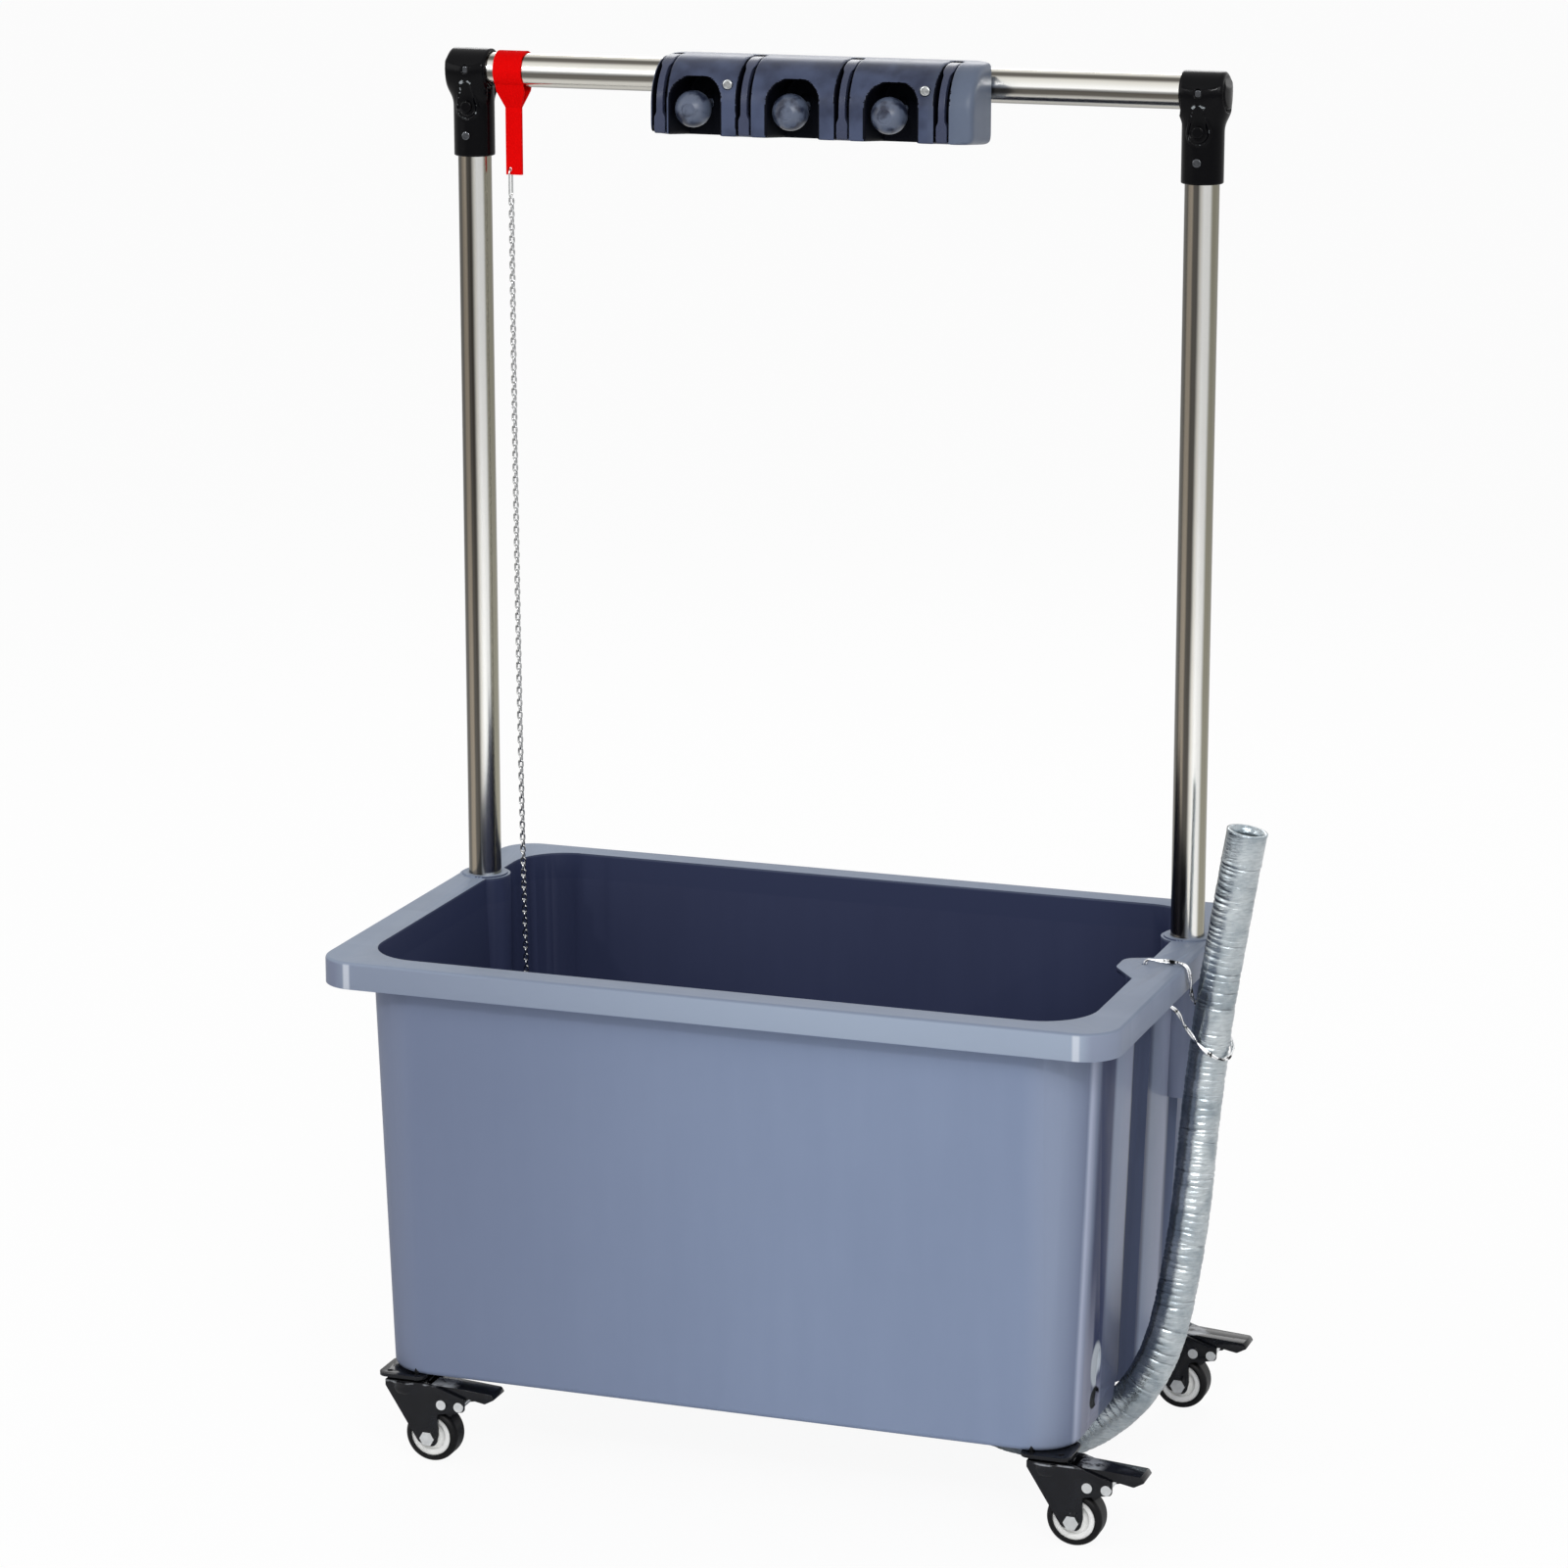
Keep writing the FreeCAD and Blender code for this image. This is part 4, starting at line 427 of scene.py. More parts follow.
def hose_finish():
    """Silvery film on a ribbed core, with painted shade along its creases and on its shaded
    side.
    """
    f = Finish("clear_hose")
    x, y, z = f.parts(f.place())
    crease = f.painted("crease")
    shade = f.painted("shade")
    blotch = f.noise(40, 4, 0.6, distortion=0.4)
    smear = f.noise(160, 3, 0.6, vector=f.joined(x, y, z * 5))
    tone = f.mix(f.step(blotch, 0.3, 0.7), srgb(158, 169, 176), srgb(206, 213, 216))
    tone = f.mix(f.step(smear, 0.35, 0.7) * 0.3, tone, srgb(104, 114, 122))
    # painted shade on the hose's shaded side
    tone = f.mix(0.9 * f.step(shade + 0.3 * (smear - 0.5), 0.3, 0.95), tone, srgb(66, 76, 82))
    # painted shade along the creases, deeper on the shaded side
    crease_shade = f.step(crease + 0.5 * (smear - 0.55), 0.25, 0.85) * (0.55 + 0.4 * shade)
    colour = f.mix(crease_shade, tone, srgb(38, 45, 54))
    return f.surface(colour, 0.16 + 0.16 * blotch, (smear, 0.0006, 0.5), Metallic=0.9)


def rubber_finish(name, colour, roughness, patch=None, **sockets):
    """Matt rubber with moulding bloom, or with worn paler patches."""
    f = Finish(name)
    bloom = f.noise(90, 4)
    share = f.step(bloom, 0.36, 0.56) if patch else bloom
    tone = f.mix(share, colour, patch or tuple(min(1, c * 1.5 + 0.004) for c in colour))
    return f.surface(tone, roughness + 0.15 * (bloom - 0.5), (f.noise(800, 2), 0.00008, 0.4),
                     **sockets)


def holder_finish():
    """Slate plastic with soft darker clouds, paler towards its thick right end."""
    f = Finish("slate_plastic")
    x, _, z = f.parts(f.place())
    cloud = f.noise(22, 3, 0.55)
    fine = f.noise(90, 3)
    tone = f.mix(f.step(cloud + 0.25 * (fine - 0.5), 0.35, 0.65), srgb(42, 48, 68),
                 srgb(66, 75, 100))
    end_face = HOLDER_RIGHT + TUB_SHIFT
    end = f.step(x, (end_face - 40) * MM, (end_face - 8) * MM)
    tone = f.mix(end * 0.9, tone, srgb(93, 103, 121))
    # painted light: the level top a little paler, as if lit from above
    level = f.step(z, (HOLDER_TOP - 3) * MM, (HOLDER_TOP - 1) * MM)
    tone = f.mix(level * 0.5, tone, srgb(84, 93, 116))
    return f.surface(tone, 0.34 + 0.1 * (fine - 0.5), (f.noise(1200, 2), 0.00006, 0.35),
                     Specular_IOR_Level=0.22)


tub_plastic = tub_finish("tub_plastic", srgb(120, 133, 159), srgb(131, 144, 170),
                         srgb(150, 162, 180), 0.36, 0.04, outside=True)
# the tub's inside: the same plastic painted darker, as shade
tub_inside_shade = tub_finish("tub_inside_shade", srgb(42, 48, 75), srgb(52, 59, 87),
                        srgb(44, 51, 79), 0.45, 0.08, outside=False)
slate_plastic = holder_finish()
# near black, painted shade deep in the holder's bays and slots
bay_shade = moulded_finish("bay_shade", srgb(9, 11, 19), 0.5, Specular_IOR_Level=0.05)
hook_plastic = moulded_finish("hook_plastic", srgb(56, 62, 84), 0.28, spread=0.25,
                              Specular_IOR_Level=0.3)
ball_rubber = rubber_finish("ball_rubber", srgb(34, 40, 58), 0.34, patch=srgb(83, 92, 111))
black_plastic = black_plastic_finish()
screw_steel = metal_finish("screw_steel", srgb(196, 199, 202), 0.16, 0.75, 520)
dull_steel = metal_finish("dull_steel", srgb(92, 94, 98), 0.14, 0.8, 420)
gloss_black = gloss_black_finish()
tyre_rubber = rubber_finish("tyre_rubber", srgb(9, 9, 11), 0.4, Specular_IOR_Level=0.15)
core_plastic = moulded_finish("core_plastic", srgb(244, 245, 242), 0.3)
pale_plastic = moulded_finish("pale_plastic", srgb(206, 208, 206), 0.35)
zinc = metal_finish("zinc", srgb(222, 224, 224), 0.18)
dark_zinc = metal_finish("dark_zinc", srgb(46, 47, 50), 0.22)
tie_wire = wire_finish()
chain_metal = metal_finish("chain_metal", srgb(186, 187, 188), 0.16, 0.35)
red_webbing = webbing_finish()
clear_hose = hose_finish()
BROWN, DRAB, GREY, TAN, KHAKI, CREAM, WHITE = (srgb(*tone) for tone in (
    (50, 44, 37), (72, 67, 60), (88, 84, 77), (146, 134, 117), (154, 150, 132),
    (216, 213, 204), (250, 250, 247)))
# the painted reflections round the tubes: how far round a half they stand, and their tones
UPRIGHT_FRONT = [(0.0, GREY), (0.2, GREY), (0.25, TAN), (0.32, TAN), (0.36, BROWN),
                 (0.44, BROWN), (0.49, CREAM), (0.55, WHITE), (0.66, WHITE), (0.72, KHAKI),
                 (0.92, KHAKI)]
UPRIGHT_BACK = [(0.0, BROWN), (0.13, TAN), (0.28, CREAM), (0.42, WHITE), (0.5, TAN),
                (0.6, BROWN), (0.74, KHAKI), (0.9, CREAM)]
BAR_FRONT = [(0.08, DRAB), (0.16, CREAM), (0.31, CREAM), (0.37, DRAB), (0.44, DRAB),
             (0.5, WHITE), (0.64, CREAM), (0.7, DRAB), (0.76, DRAB), (0.82, CREAM),
             (0.94, CREAM), (1.0, KHAKI)]
left_chrome = chrome_finish(
    "left_chrome", 2, ((-SOCKET_REACH + TUB_SHIFT) * MM, BAR_BACK * MM),
    around(0.055, UPRIGHT_FRONT, UPRIGHT_BACK))
right_chrome = chrome_finish(
    "right_chrome", 2, ((SOCKET_REACH + TUB_SHIFT) * MM, BAR_BACK * MM),
    around(0.04, UPRIGHT_FRONT, UPRIGHT_BACK))
bar_chrome = chrome_finish(
    "bar_chrome", 0, (BAR_BACK * MM, BAR_HEIGHT * MM),
    around(0.265, BAR_FRONT, UPRIGHT_BACK), -1)


# ---- meshes


def clothed(thing, material):
    """Gives a piece one material on all its faces."""
    thing.data.materials.clear()
    thing.data.materials.append(material)
    return thing


def piece(name, mesh, body, material, replaces=()):
    """A finished mesh as a piece of the object."""
    if isinstance(mesh, bmesh.types.BMesh):
        data = bpy.data.meshes.new(name)
        mesh.to_mesh(data)
        mesh.free()
        mesh = data
    thing = bpy.data.objects.new(name, mesh)
    bpy.context.scene.collection.objects.link(thing)
    clothed(thing, material)
    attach(thing, body)
    if replaces:
        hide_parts(*replaces)
    return thing


def smooth(mesh, angle):
    """Smooth faces, with edges sharper than the angle in degrees left sharp."""
    limit = math.radians(angle)
    for face in mesh.faces:
        face.smooth = True
    for edge in mesh.edges:
        if len(edge.link_faces) == 2:
            edge.smooth = edge.calc_face_angle(0) < limit
    return mesh


def soften(node, width, segments=2, angle=28):
    """Rounds the edges of a CAD node where a mould or a press would."""
    thing = nodes[node]
    for polygon in thing.data.polygons:
        polygon.use_smooth = True
    weld = thing.modifiers.new("weld", "WELD")
    weld.merge_threshold = 0.00001
    flat = thing.modifiers.new("flat", "DECIMATE")
    flat.decimate_type = "DISSOLVE"
    flat.angle_limit = math.radians(0.6)
    flat.delimit = {"MATERIAL"}
    bevel = thing.modifiers.new("edges", "BEVEL")
    bevel.width = width * MM
    bevel.segments = segments
    bevel.limit_method = "ANGLE"
    bevel.angle_limit = math.radians(angle)
    bevel.harden_normals = True
    bevel.use_clamp_overlap = True
    return thing


def remeshed(node, voxel):
    """A copy of a CAD node's mesh with fine, even faces, the voxel in millimetres."""
    blank = bpy.data.objects.new("blank", nodes[node].data.copy())
    bpy.context.scene.collection.objects.link(blank)
    fine = blank.modifiers.new("fine", "REMESH")
    fine.mode = "VOXEL"
    fine.voxel_size = voxel * MM
    ready = blank.evaluated_get(bpy.context.evaluated_depsgraph_get())
    mesh = bpy.data.meshes.new_from_object(ready)
    data = blank.data
    bpy.data.objects.remove(blank)
    bpy.data.meshes.remove(data)
    return mesh


def points_of(mesh):
    """A mesh's points in millimetres from the tub's middle."""
    flat = numpy.empty(len(mesh.vertices) * 3)
    mesh.vertices.foreach_get("co", flat)
    return flat.reshape(-1, 3) / MM - (TUB_SHIFT, 0, 0)


def relaxed(mesh, points, share, rounds):
    """Draws points towards the middle of their neighbours, each by its own share."""
    flat = numpy.empty(len(mesh.edges) * 2, dtype=int)
    mesh.edges.foreach_get("vertices", flat)
    a, b = flat.reshape(-1, 2).T
    count = len(points)
    neighbours = (numpy.bincount(a, minlength=count) + numpy.bincount(b, minlength=count))
    for _ in range(rounds):
        middle = numpy.stack([numpy.bincount(a, points[b, k], count)
                              + numpy.bincount(b, points[a, k], count)
                              for k in range(3)], axis=1) / neighbours[:, None]
        points = points + share[:, None] * (middle - points)
    return points


def shaped(mesh, points):
    """Puts points in millimetres back in a mesh, with smooth faces."""
    mesh.vertices.foreach_set("co", ((points + (TUB_SHIFT, 0, 0)) * MM).ravel())
    mesh.polygons.foreach_set("use_smooth", [True] * len(mesh.polygons))
    mesh.update()
    return mesh


def ramp(value, low, high):
    """0 below low and 1 above high, with a smooth change between."""
    share = numpy.clip((value - low) / (high - low), 0, 1)
    return share * share * (3 - 2 * share)


def paint_shade_inside(thing, shade_material, lookouts):
    """Gives the faces that a lookout point inside can see their own material: painted shade
    inside.
    """
    mesh = thing.data
    mesh.materials.append(shade_material)
    slot = len(mesh.materials) - 1
    tree = BVHTree.FromPolygons([v.co for v in mesh.vertices],
                                [p.vertices for p in mesh.polygons])
    for polygon in mesh.polygons:
        start = polygon.center + polygon.normal * (0.1 * MM)
        for lookout in lookouts:
            way = lookout - start
            if way.dot(polygon.normal) > 0.05 * way.length and not tree.ray_cast(
                    start, way.normalized(), way.length)[0]:
                polygon.material_index = slot
                break


def spline_points(points, per_piece):
    """A smooth line that the NURBS of the points gives, as a list of points."""
    curve = bpy.data.curves.new("route", "CURVE")
    curve.dimensions = "3D"
    spline = curve.splines.new("NURBS")
    spline.points.add(len(points) - 1)
    for spot, point in zip(spline.points, points):
        spot.co = (*point, 1)
    spline.order_u = 3
    spline.use_endpoint_u = True
    spline.resolution_u = per_piece
    thing = bpy.data.objects.new("route", curve)
    mesh = bpy.data.meshes.new_from_object(thing)
    found = [vertex.co.copy() for vertex in mesh.vertices]
    bpy.data.objects.remove(thing)
    bpy.data.meshes.remove(mesh)
    bpy.data.curves.remove(curve)
    return found


def spaced(points, step):
    """Points at even steps along a line, and its length."""
    lengths = [0.0]
    for a, b in zip(points, points[1:]):
        lengths.append(lengths[-1] + (b - a).length)
    total = lengths[-1]
    count = max(2, round(total / step))
    found, index = [], 0
    for k in range(count + 1):
        distance = total * k / count
        while index < len(points) - 2 and lengths[index + 1] < distance:
            index += 1
        span = lengths[index + 1] - lengths[index] or 1e-9
        share = (distance - lengths[index]) / span
        found.append(points[index].lerp(points[index + 1], share))
    return found, total


def frames_along(points):
    """Steady side and up vectors at each point of a line."""
    tangents = []
    for k in range(len(points)):
        before, after = points[max(0, k - 1)], points[min(len(points) - 1, k + 1)]
        tangents.append((after - before).normalized())
    side = tangents[0].orthogonal().normalized()
    found = []
    for tangent in tangents:
        side = (side - tangent * side.dot(tangent)).normalized()
        found.append((tangent, side, tangent.cross(side)))
    return found


def tube(points, radius_at, sides, closed_ends=True, layers=()):
    """A tube along points; radius_at takes the point's index and the angle."""
    mesh = bmesh.new()
    for layer in layers:
        mesh.verts.layers.float.new(layer)
    rings = []
    for k, (point, (_, side, up)) in enumerate(zip(points, frames_along(points))):
        ring = []
        for n in range(sides):
            angle = 2 * math.pi * n / sides
            r = radius_at(k, angle)
            ring.append(mesh.verts.new(point + side * (r * math.cos(angle))
                                       + up * (r * math.sin(angle))))
        rings.append(ring)
    for a, b in zip(rings, rings[1:]):
        for n in range(sides):
            m = (n + 1) % sides
            mesh.faces.new((a[n], a[m], b[m], b[n]))
    if closed_ends:
        mesh.faces.new(list(reversed(rings[0])))
        mesh.faces.new(rings[-1])
    return mesh, rings


# ---- the drain hose

HOSE_ROUTE = [(28, 0, 43), (105, 0, 43), (186, -17, 20), (240, -25, 32), (293, -27, 86),
              (310, -13, 180), (313, 14, 300), (324, 20, 395), (340, 20, 489)]
HOSE_RADIUS = 15
HOSE_BORE = 12.5
HOSE_SIDES = 64
HOSE_STEP = 0.8
CUFF = 25
CREASE_PITCH = (3.0, 6.6)
CREASE_REACH = 4
CREASE_DEPTH = 1.3


def make_creases(length):
    """Places, depths and skews of the film's creases along the hose."""
    random.seed(11)
    creases, distance = [], HOSE_RADIUS * 2 + 2
    while distance < length - CUFF:
        creases.append((distance, random.uniform(0.3, 0.95), random.uniform(-1.5, 1.5),
                        random.uniform(0, 2 * math.pi), random.uniform(0.5, 0.9)))
        distance += random.uniform(*CREASE_PITCH)
    return creases


def creased(count, length):
    """The hose's radius and its grooves' depth at each ring and side, in millimetres."""
    step = length / (count - 1)
    creases = make_creases(length)
    grooves = [[0.0] * HOSE_SIDES for _ in range(count)]
    radii = [[0.0] * HOSE_SIDES for _ in range(count)]
    first = 0
    for k in range(count):
        distance = k * step
        left = length - distance
        while first < len(creases) - 1 and creases[first][0] < distance - 2 * CREASE_REACH:
            first += 1
        for n in range(HOSE_SIDES):
            angle = 2 * math.pi * n / HOSE_SIDES
            if left < CUFF or distance < HOSE_RADIUS * 2:
                lip = 0.25 if left < 2 or abs(left - CUFF + 1.2) < 1 else 0
                radii[k][n] = HOSE_RADIUS - 0.3 + lip
                continue
            dip = 0.0
            for place, depth, skew, phase, width in creases[first:first + 6]:
                away = distance - place - skew * math.cos(angle - phase)
                if abs(away) < CREASE_REACH:
                    fade = 0.75 + 0.25 * math.cos(2 * angle - phase)
                    dip += depth * fade * math.exp(-(away / width) ** 2)
            swell = 0.22 * math.sin(3 * angle + distance * 0.13) * math.sin(distance * 0.19)
            radii[k][n] = HOSE_RADIUS - 0.45 - min(CREASE_DEPTH, dip) + swell
            grooves[k][n] = min(1.0, dip)
    return radii, grooves


def make_hose():
    """A creased tube with a bore, and the creases and shade painted on its points."""
    route = [at(*point) for point in HOSE_ROUTE]
    points, length = spaced(spline_points(route, 48), HOSE_STEP * MM)
    radii, grooves = creased(len(points), length / MM)
    sides = HOSE_SIDES
    layers = ("crease", "shade")

    def radius_at(k, angle):
        return radii[k][round(angle * sides / 2 / math.pi) % sides] * MM

    mesh, rings = tube(points, radius_at, sides, False, layers)
    crease_layer, shade_layer = (mesh.verts.layers.float[layer] for layer in layers)
    for k, (ring, point) in enumerate(zip(rings, points)):
        for n, vertex in enumerate(ring):
            vertex[crease_layer] = grooves[k][n]
            away = (vertex.co - point).normalized()
            vertex[shade_layer] = max(0.0, -away.x * 0.9 + away.y * 0.1 - away.z * 0.25)
    inner = []
    for k, (point, (_, side, up)) in enumerate(zip(points, frames_along(points))):
        if k % 8 and k != len(points) - 1:
            continue
        inner.append([mesh.verts.new(point + (side * math.cos(2 * math.pi * n / sides)
                                              + up * math.sin(2 * math.pi * n / sides))
                                     * HOSE_BORE * MM) for n in range(sides)])
    for a, b in zip(inner, inner[1:]):
        for n in range(sides):
            m = (n + 1) % sides
            mesh.faces.new((a[m], a[n], b[n], b[m]))
    for outside, inside, forward in ((rings[0], inner[0], False), (rings[-1], inner[-1], True)):
        for n in range(sides):
            m = (n + 1) % sides
            ring = (outside[n], outside[m], inside[m], inside[n])
            mesh.faces.new(ring if forward else tuple(reversed(ring)))
    hose = piece("ribbed_drain_hose", smooth(mesh, 70), "stand", clear_hose,
                 ["drain_hose"])
    [tuple(point) for point in points[::4] + [points[-1]]]


# ---- the wire that ties the hose to the tub's ear

TIE_ROUTE = [(270.7, 1.3, 368), (270.7, 1.3, 385), (271.6, 1.6, 392.4), (281, 4.2, 390.9),
             (290, 6, 390.8), (302.8, 1.5, 391), (304, 6, 376), (302.8, 14, 361),
             (305.6, 30, 351), (317.8, 34.6, 342), (329.8, 28.5, 332), (334.4, 15, 323),
             (329.2, 1.6, 321), (316.8, -2.6, 329), (305.6, 1, 340), (302.5, -7, 349),
             (301, -15, 359), (297, -20, 365), (288, -18, 367), (279, -8, 372), (275, 0, 376)]
STRAND_RADIUS = 0.8
TIE_TWIST = 44.0  # a strand's whole turn, along the tie
TIE_STEP = 0.7


def make_tie():
    """Two strands twisted round each other."""
    route = [at(*point) for point in TIE_ROUTE]
    points, length = spaced(spline_points(route, 32), TIE_STEP * MM)
    frames = frames_along(points)
    mesh = bmesh.new()
    for strand in (0, math.pi):
        line = []
        for k, (point, (_, side, up)) in enumerate(zip(points, frames)):
            turn = strand + 2 * math.pi * k * TIE_STEP / TIE_TWIST
            line.append(point + (side * math.cos(turn) + up * math.sin(turn))
                        * (STRAND_RADIUS * MM))
        one, _ = tube(line, lambda k, angle: STRAND_RADIUS * MM, 10)
        data = bpy.data.meshes.new("strand")
        one.to_mesh(data)
        one.free()
        mesh.from_mesh(data)
        bpy.data.meshes.remove(data)
    tie = piece("twisted_hose_tie", smooth(mesh, 60), "stand", tie_wire, ["hose_tie"])


# ---- the plug chain

CHAIN_ROUTE = [(-251.2, 86, 911.4), (-251.2, 86, 75.4), (-208.5, 74, 75.4),
               (-160.8, 68.8, 75.4), (-113, 40.4, 75.4), (-80.4, 26.7, 75.4),
               (-52.8, 13.8, 79.4), (-36.4, 5.2, 83.4), (-26.05, 0, 84.5)]
LINK_LENGTH = 7.2
LINK_WIDTH = 5.0
LINK_WIRE = 0.75
LINK_OVERLAP = 0.9  # how far the middle lines of two links' ends reach past each other
LINK_LEAN = 47  # how far the links lean from upright, in degrees
LINK_CURB = 0.5  # how far each side of a link is twisted out of flat, in radians
BEND_RINGS = 6
WIRE_SIDES = 6


def make_chain():
    """Curb links along the route, each turned a quarter from the one before."""
    route = [at(*point) for point in CHAIN_ROUTE]
    pitch = LINK_LENGTH - 2 * LINK_WIRE - LINK_OVERLAP
    points, length = spaced(spline_points(route, 48), pitch * MM)
    mesh = bmesh.new()
    half = (LINK_WIDTH / 2 - LINK_WIRE) * MM
    straight = (LINK_LENGTH / 2 - LINK_WIDTH / 2) * MM
    for k, (a, b) in enumerate(zip(points, points[1:])):
        middle = (a + b) / 2
        forward = (b - a).normalized()
        lean = Matrix.Rotation(math.radians(LINK_LEAN + 90 * (k % 2)), 3, forward)
        side = lean @ forward.orthogonal().normalized()
        up = forward.cross(side)
        rings = []
        for n in range(2 * (BEND_RINGS + 1)):
            lower = n > BEND_RINGS
            angle = math.pi * (n % (BEND_RINGS + 1)) / BEND_RINGS + (math.pi if lower else 0)
            curb = LINK_CURB * math.cos(angle)
            across = side * math.cos(curb) + up * math.sin(curb)
            lift = up * math.cos(curb) - side * math.sin(curb)
            centre = middle + across * (half * math.cos(angle)) + forward * (
                half * math.sin(angle) + (-straight if lower else straight))
            out = across * math.cos(angle) + forward * math.sin(angle)
            ring = []
            for q in range(WIRE_SIDES):
                turn = 2 * math.pi * q / WIRE_SIDES
                ring.append(mesh.verts.new(centre + (out * math.cos(turn)
                                                     + lift * math.sin(turn))
                                           * LINK_WIRE * MM))
            rings.append(ring)
        for n in range(len(rings)):
            first, second = rings[n], rings[(n + 1) % len(rings)]
            for q in range(WIRE_SIDES):
                r = (q + 1) % WIRE_SIDES
                mesh.faces.new((first[q], second[q], second[r], first[r]))
    bmesh.ops.recalc_face_normals(mesh, faces=mesh.faces)
    chain = piece("linked_plug_chain", smooth(mesh, 70), "stand", chain_metal,
                  ["plug_chain"])


# ---- the elbows: two barrels blended into each other, with a ridged oval in front

ELBOW_RADIUS = 15.3
ELBOW_DROP = 64.3
ELBOW_MOUTH = 15
ELBOW_CAP = 17
CAP_ROUND = 3
ELBOW_BLEND = 13
OVAL_DROP = 21
OVAL_FOOT = (7.0, 7.6)  # how far under the oval's middle its wide end's is, and its radius
OVAL_TOP = (10.0, 3.4)  # the same above it, of its narrow end
OVAL_DEPTH = 1.3
OVAL_RIDGE = 0.9
ELBOW_SKIN = 3.6  # points deeper than this belong to the elbow's inside
MOUTH_FACE = 1.5  # and points nearer than this to a mouth's end to its face
BORE_REACH = 13.4  # and points nearer than this to a tube's middle line to its bore
FAR = 100
ELBOW_ROUNDS = 6


def oval_distance(across, height):
    """Distance in millimetres outside a pear shape, from its middle."""
    (below, wide), (above, narrow) = OVAL_FOOT, OVAL_TOP
    x, y, h = abs(across), height + below, above + below
    lean = (wide - narrow) / h
    upright = math.sqrt(1 - lean * lean)
    along = -lean * x + upright * y
    return numpy.where(along < 0, numpy.hypot(x, y) - wide, numpy.where(
        along > upright * h, numpy.hypot(x, y - h) - narrow, upright * x + lean * y - wide))


def elbow_distance(p):
    """Distance outside the elbow's skin, from the middle of the bar's end."""
    x, y, z = p.T
    upright = numpy.maximum(numpy.hypot(x, y) - ELBOW_RADIUS,
                            numpy.maximum(-ELBOW_DROP - z, z))
    round_, flat = numpy.hypot(y, z) - (ELBOW_RADIUS - CAP_ROUND), x - (ELBOW_CAP - CAP_ROUND)
    level = (numpy.minimum(numpy.maximum(round_, flat), 0)
             + numpy.hypot(numpy.maximum(round_, 0), numpy.maximum(flat, 0)) - CAP_ROUND)
    level = numpy.maximum(level, -ELBOW_MOUTH - x)
    near = numpy.maximum(ELBOW_BLEND - abs(upright - level), 0) / ELBOW_BLEND
    skin = numpy.minimum(upright, level) - near * near * ELBOW_BLEND / 4
    away = oval_distance(x, z + OVAL_DROP)
    ridge = OVAL_RIDGE * numpy.exp(-((away - 0.7) / 0.8) ** 2)
    hollow = OVAL_DEPTH * ramp(-away, -0.3, 1.3)
    return skin + ramp(-y, 4, 9) * (hollow - ridge)


def make_elbow(name, side):
    """Draws the CAD elbow's outer skin to the blended shape, with painted highlights along the
    ridge.
    """
    mesh = remeshed(name, 0.65)
    centre = numpy.array((SOCKET_REACH * side, BAR_BACK, BAR_HEIGHT))
    turned = numpy.array((side, 1, 1))
    local = (points_of(mesh) - centre) * turned
    x, y, z = local.T
    from_tubes = numpy.minimum(numpy.hypot(x, y) + FAR * (z > -3),
                               numpy.hypot(y, z) + FAR * (x > ELBOW_CAP))
    skin = ((elbow_distance(local) > -ELBOW_SKIN) & (from_tubes > BORE_REACH)
            & (z > MOUTH_FACE - ELBOW_DROP) & (x > MOUTH_FACE - ELBOW_MOUTH))
    for _ in range(ELBOW_ROUNDS):
        found = elbow_distance(local)
        slope = numpy.stack([elbow_distance(local + step) - found
                             for step in 0.05 * numpy.eye(3)], axis=1) / 0.05
        size = numpy.maximum((slope ** 2).sum(axis=1), 0.3)
        local = local - (skin * numpy.clip(found, -1.5, 1.5) / size)[:, None] * slope
    local = relaxed(mesh, local, 0.5 * skin, 2)
    shaped(mesh, local * turned + centre)
    x, y, z = local.T
    away = oval_distance(x, z + OVAL_DROP)
    # painted highlights along the oval's ridge, and a short level mark across its narrow top
    wear_and_glint = numpy.exp(-((away - 0.4) / 1.1) ** 2) * ramp(-y, 4, 9)
    wear_and_glint += 0.8 * numpy.exp(-(z + 9) ** 2 / 2) * ramp(-y, 9, 12) * (abs(x) < 7)
    mesh.attributes.new("painted_highlight", "FLOAT", "POINT").data.foreach_set("value", wear_and_glint)
    piece("moulded_" + name, mesh, "stand", black_plastic, [name])


# ---- the mop holder: a soft moulding with painted shade in its bays, and hooks with narrow stems

BAY_CENTRES = [HOLDER_CENTRE + BAY_PITCH * step for step in (-1, 0, 1)]
HOOK_PLACES = [HOLDER_CENTRE + BAY_PITCH * step + inward
               for step, inward in ((-1.5, 10), (-0.5, 0), (0.5, 0), (1.5, 0))]


def make_housing():
    """A soft moulding with rounder ends, and painted shade in its bays and slots."""
    mesh = remeshed("holder_housing", 0.8)
    points = points_of(mesh)
    x = points[:, 0]
    ends = numpy.maximum(ramp(x, HOLDER_RIGHT - 12, HOLDER_RIGHT - 5),
                         ramp(-x, -HOLDER_LEFT - 12, -HOLDER_LEFT - 5))
    points = relaxed(mesh, points, 0.5 * ends, 60)
    points = relaxed(mesh, points, 0.5 * numpy.ones(len(points)), 5)
    shaped(mesh, points)
    housing = piece("moulded_holder_housing", mesh, "stand", slate_plastic,
                    ["holder_housing"])
    paint_shade_inside(housing, bay_shade, [at(centre + shift, HOLDER_FRONT + depth, HOLDER_BASE + rise)
                                 for centre in BAY_CENTRES for shift in (-9, 0, 9)
                                 for depth in (2, 12) for rise in (10, 24)]
          + [at(place, HOLDER_FRONT + 3, HOLDER_BASE + rise)
             for place in HOOK_PLACES for rise in (14, 26, 38)])
    thinner = housing.modifiers.new("thinner", "DECIMATE")
    thinner.ratio = 0.4


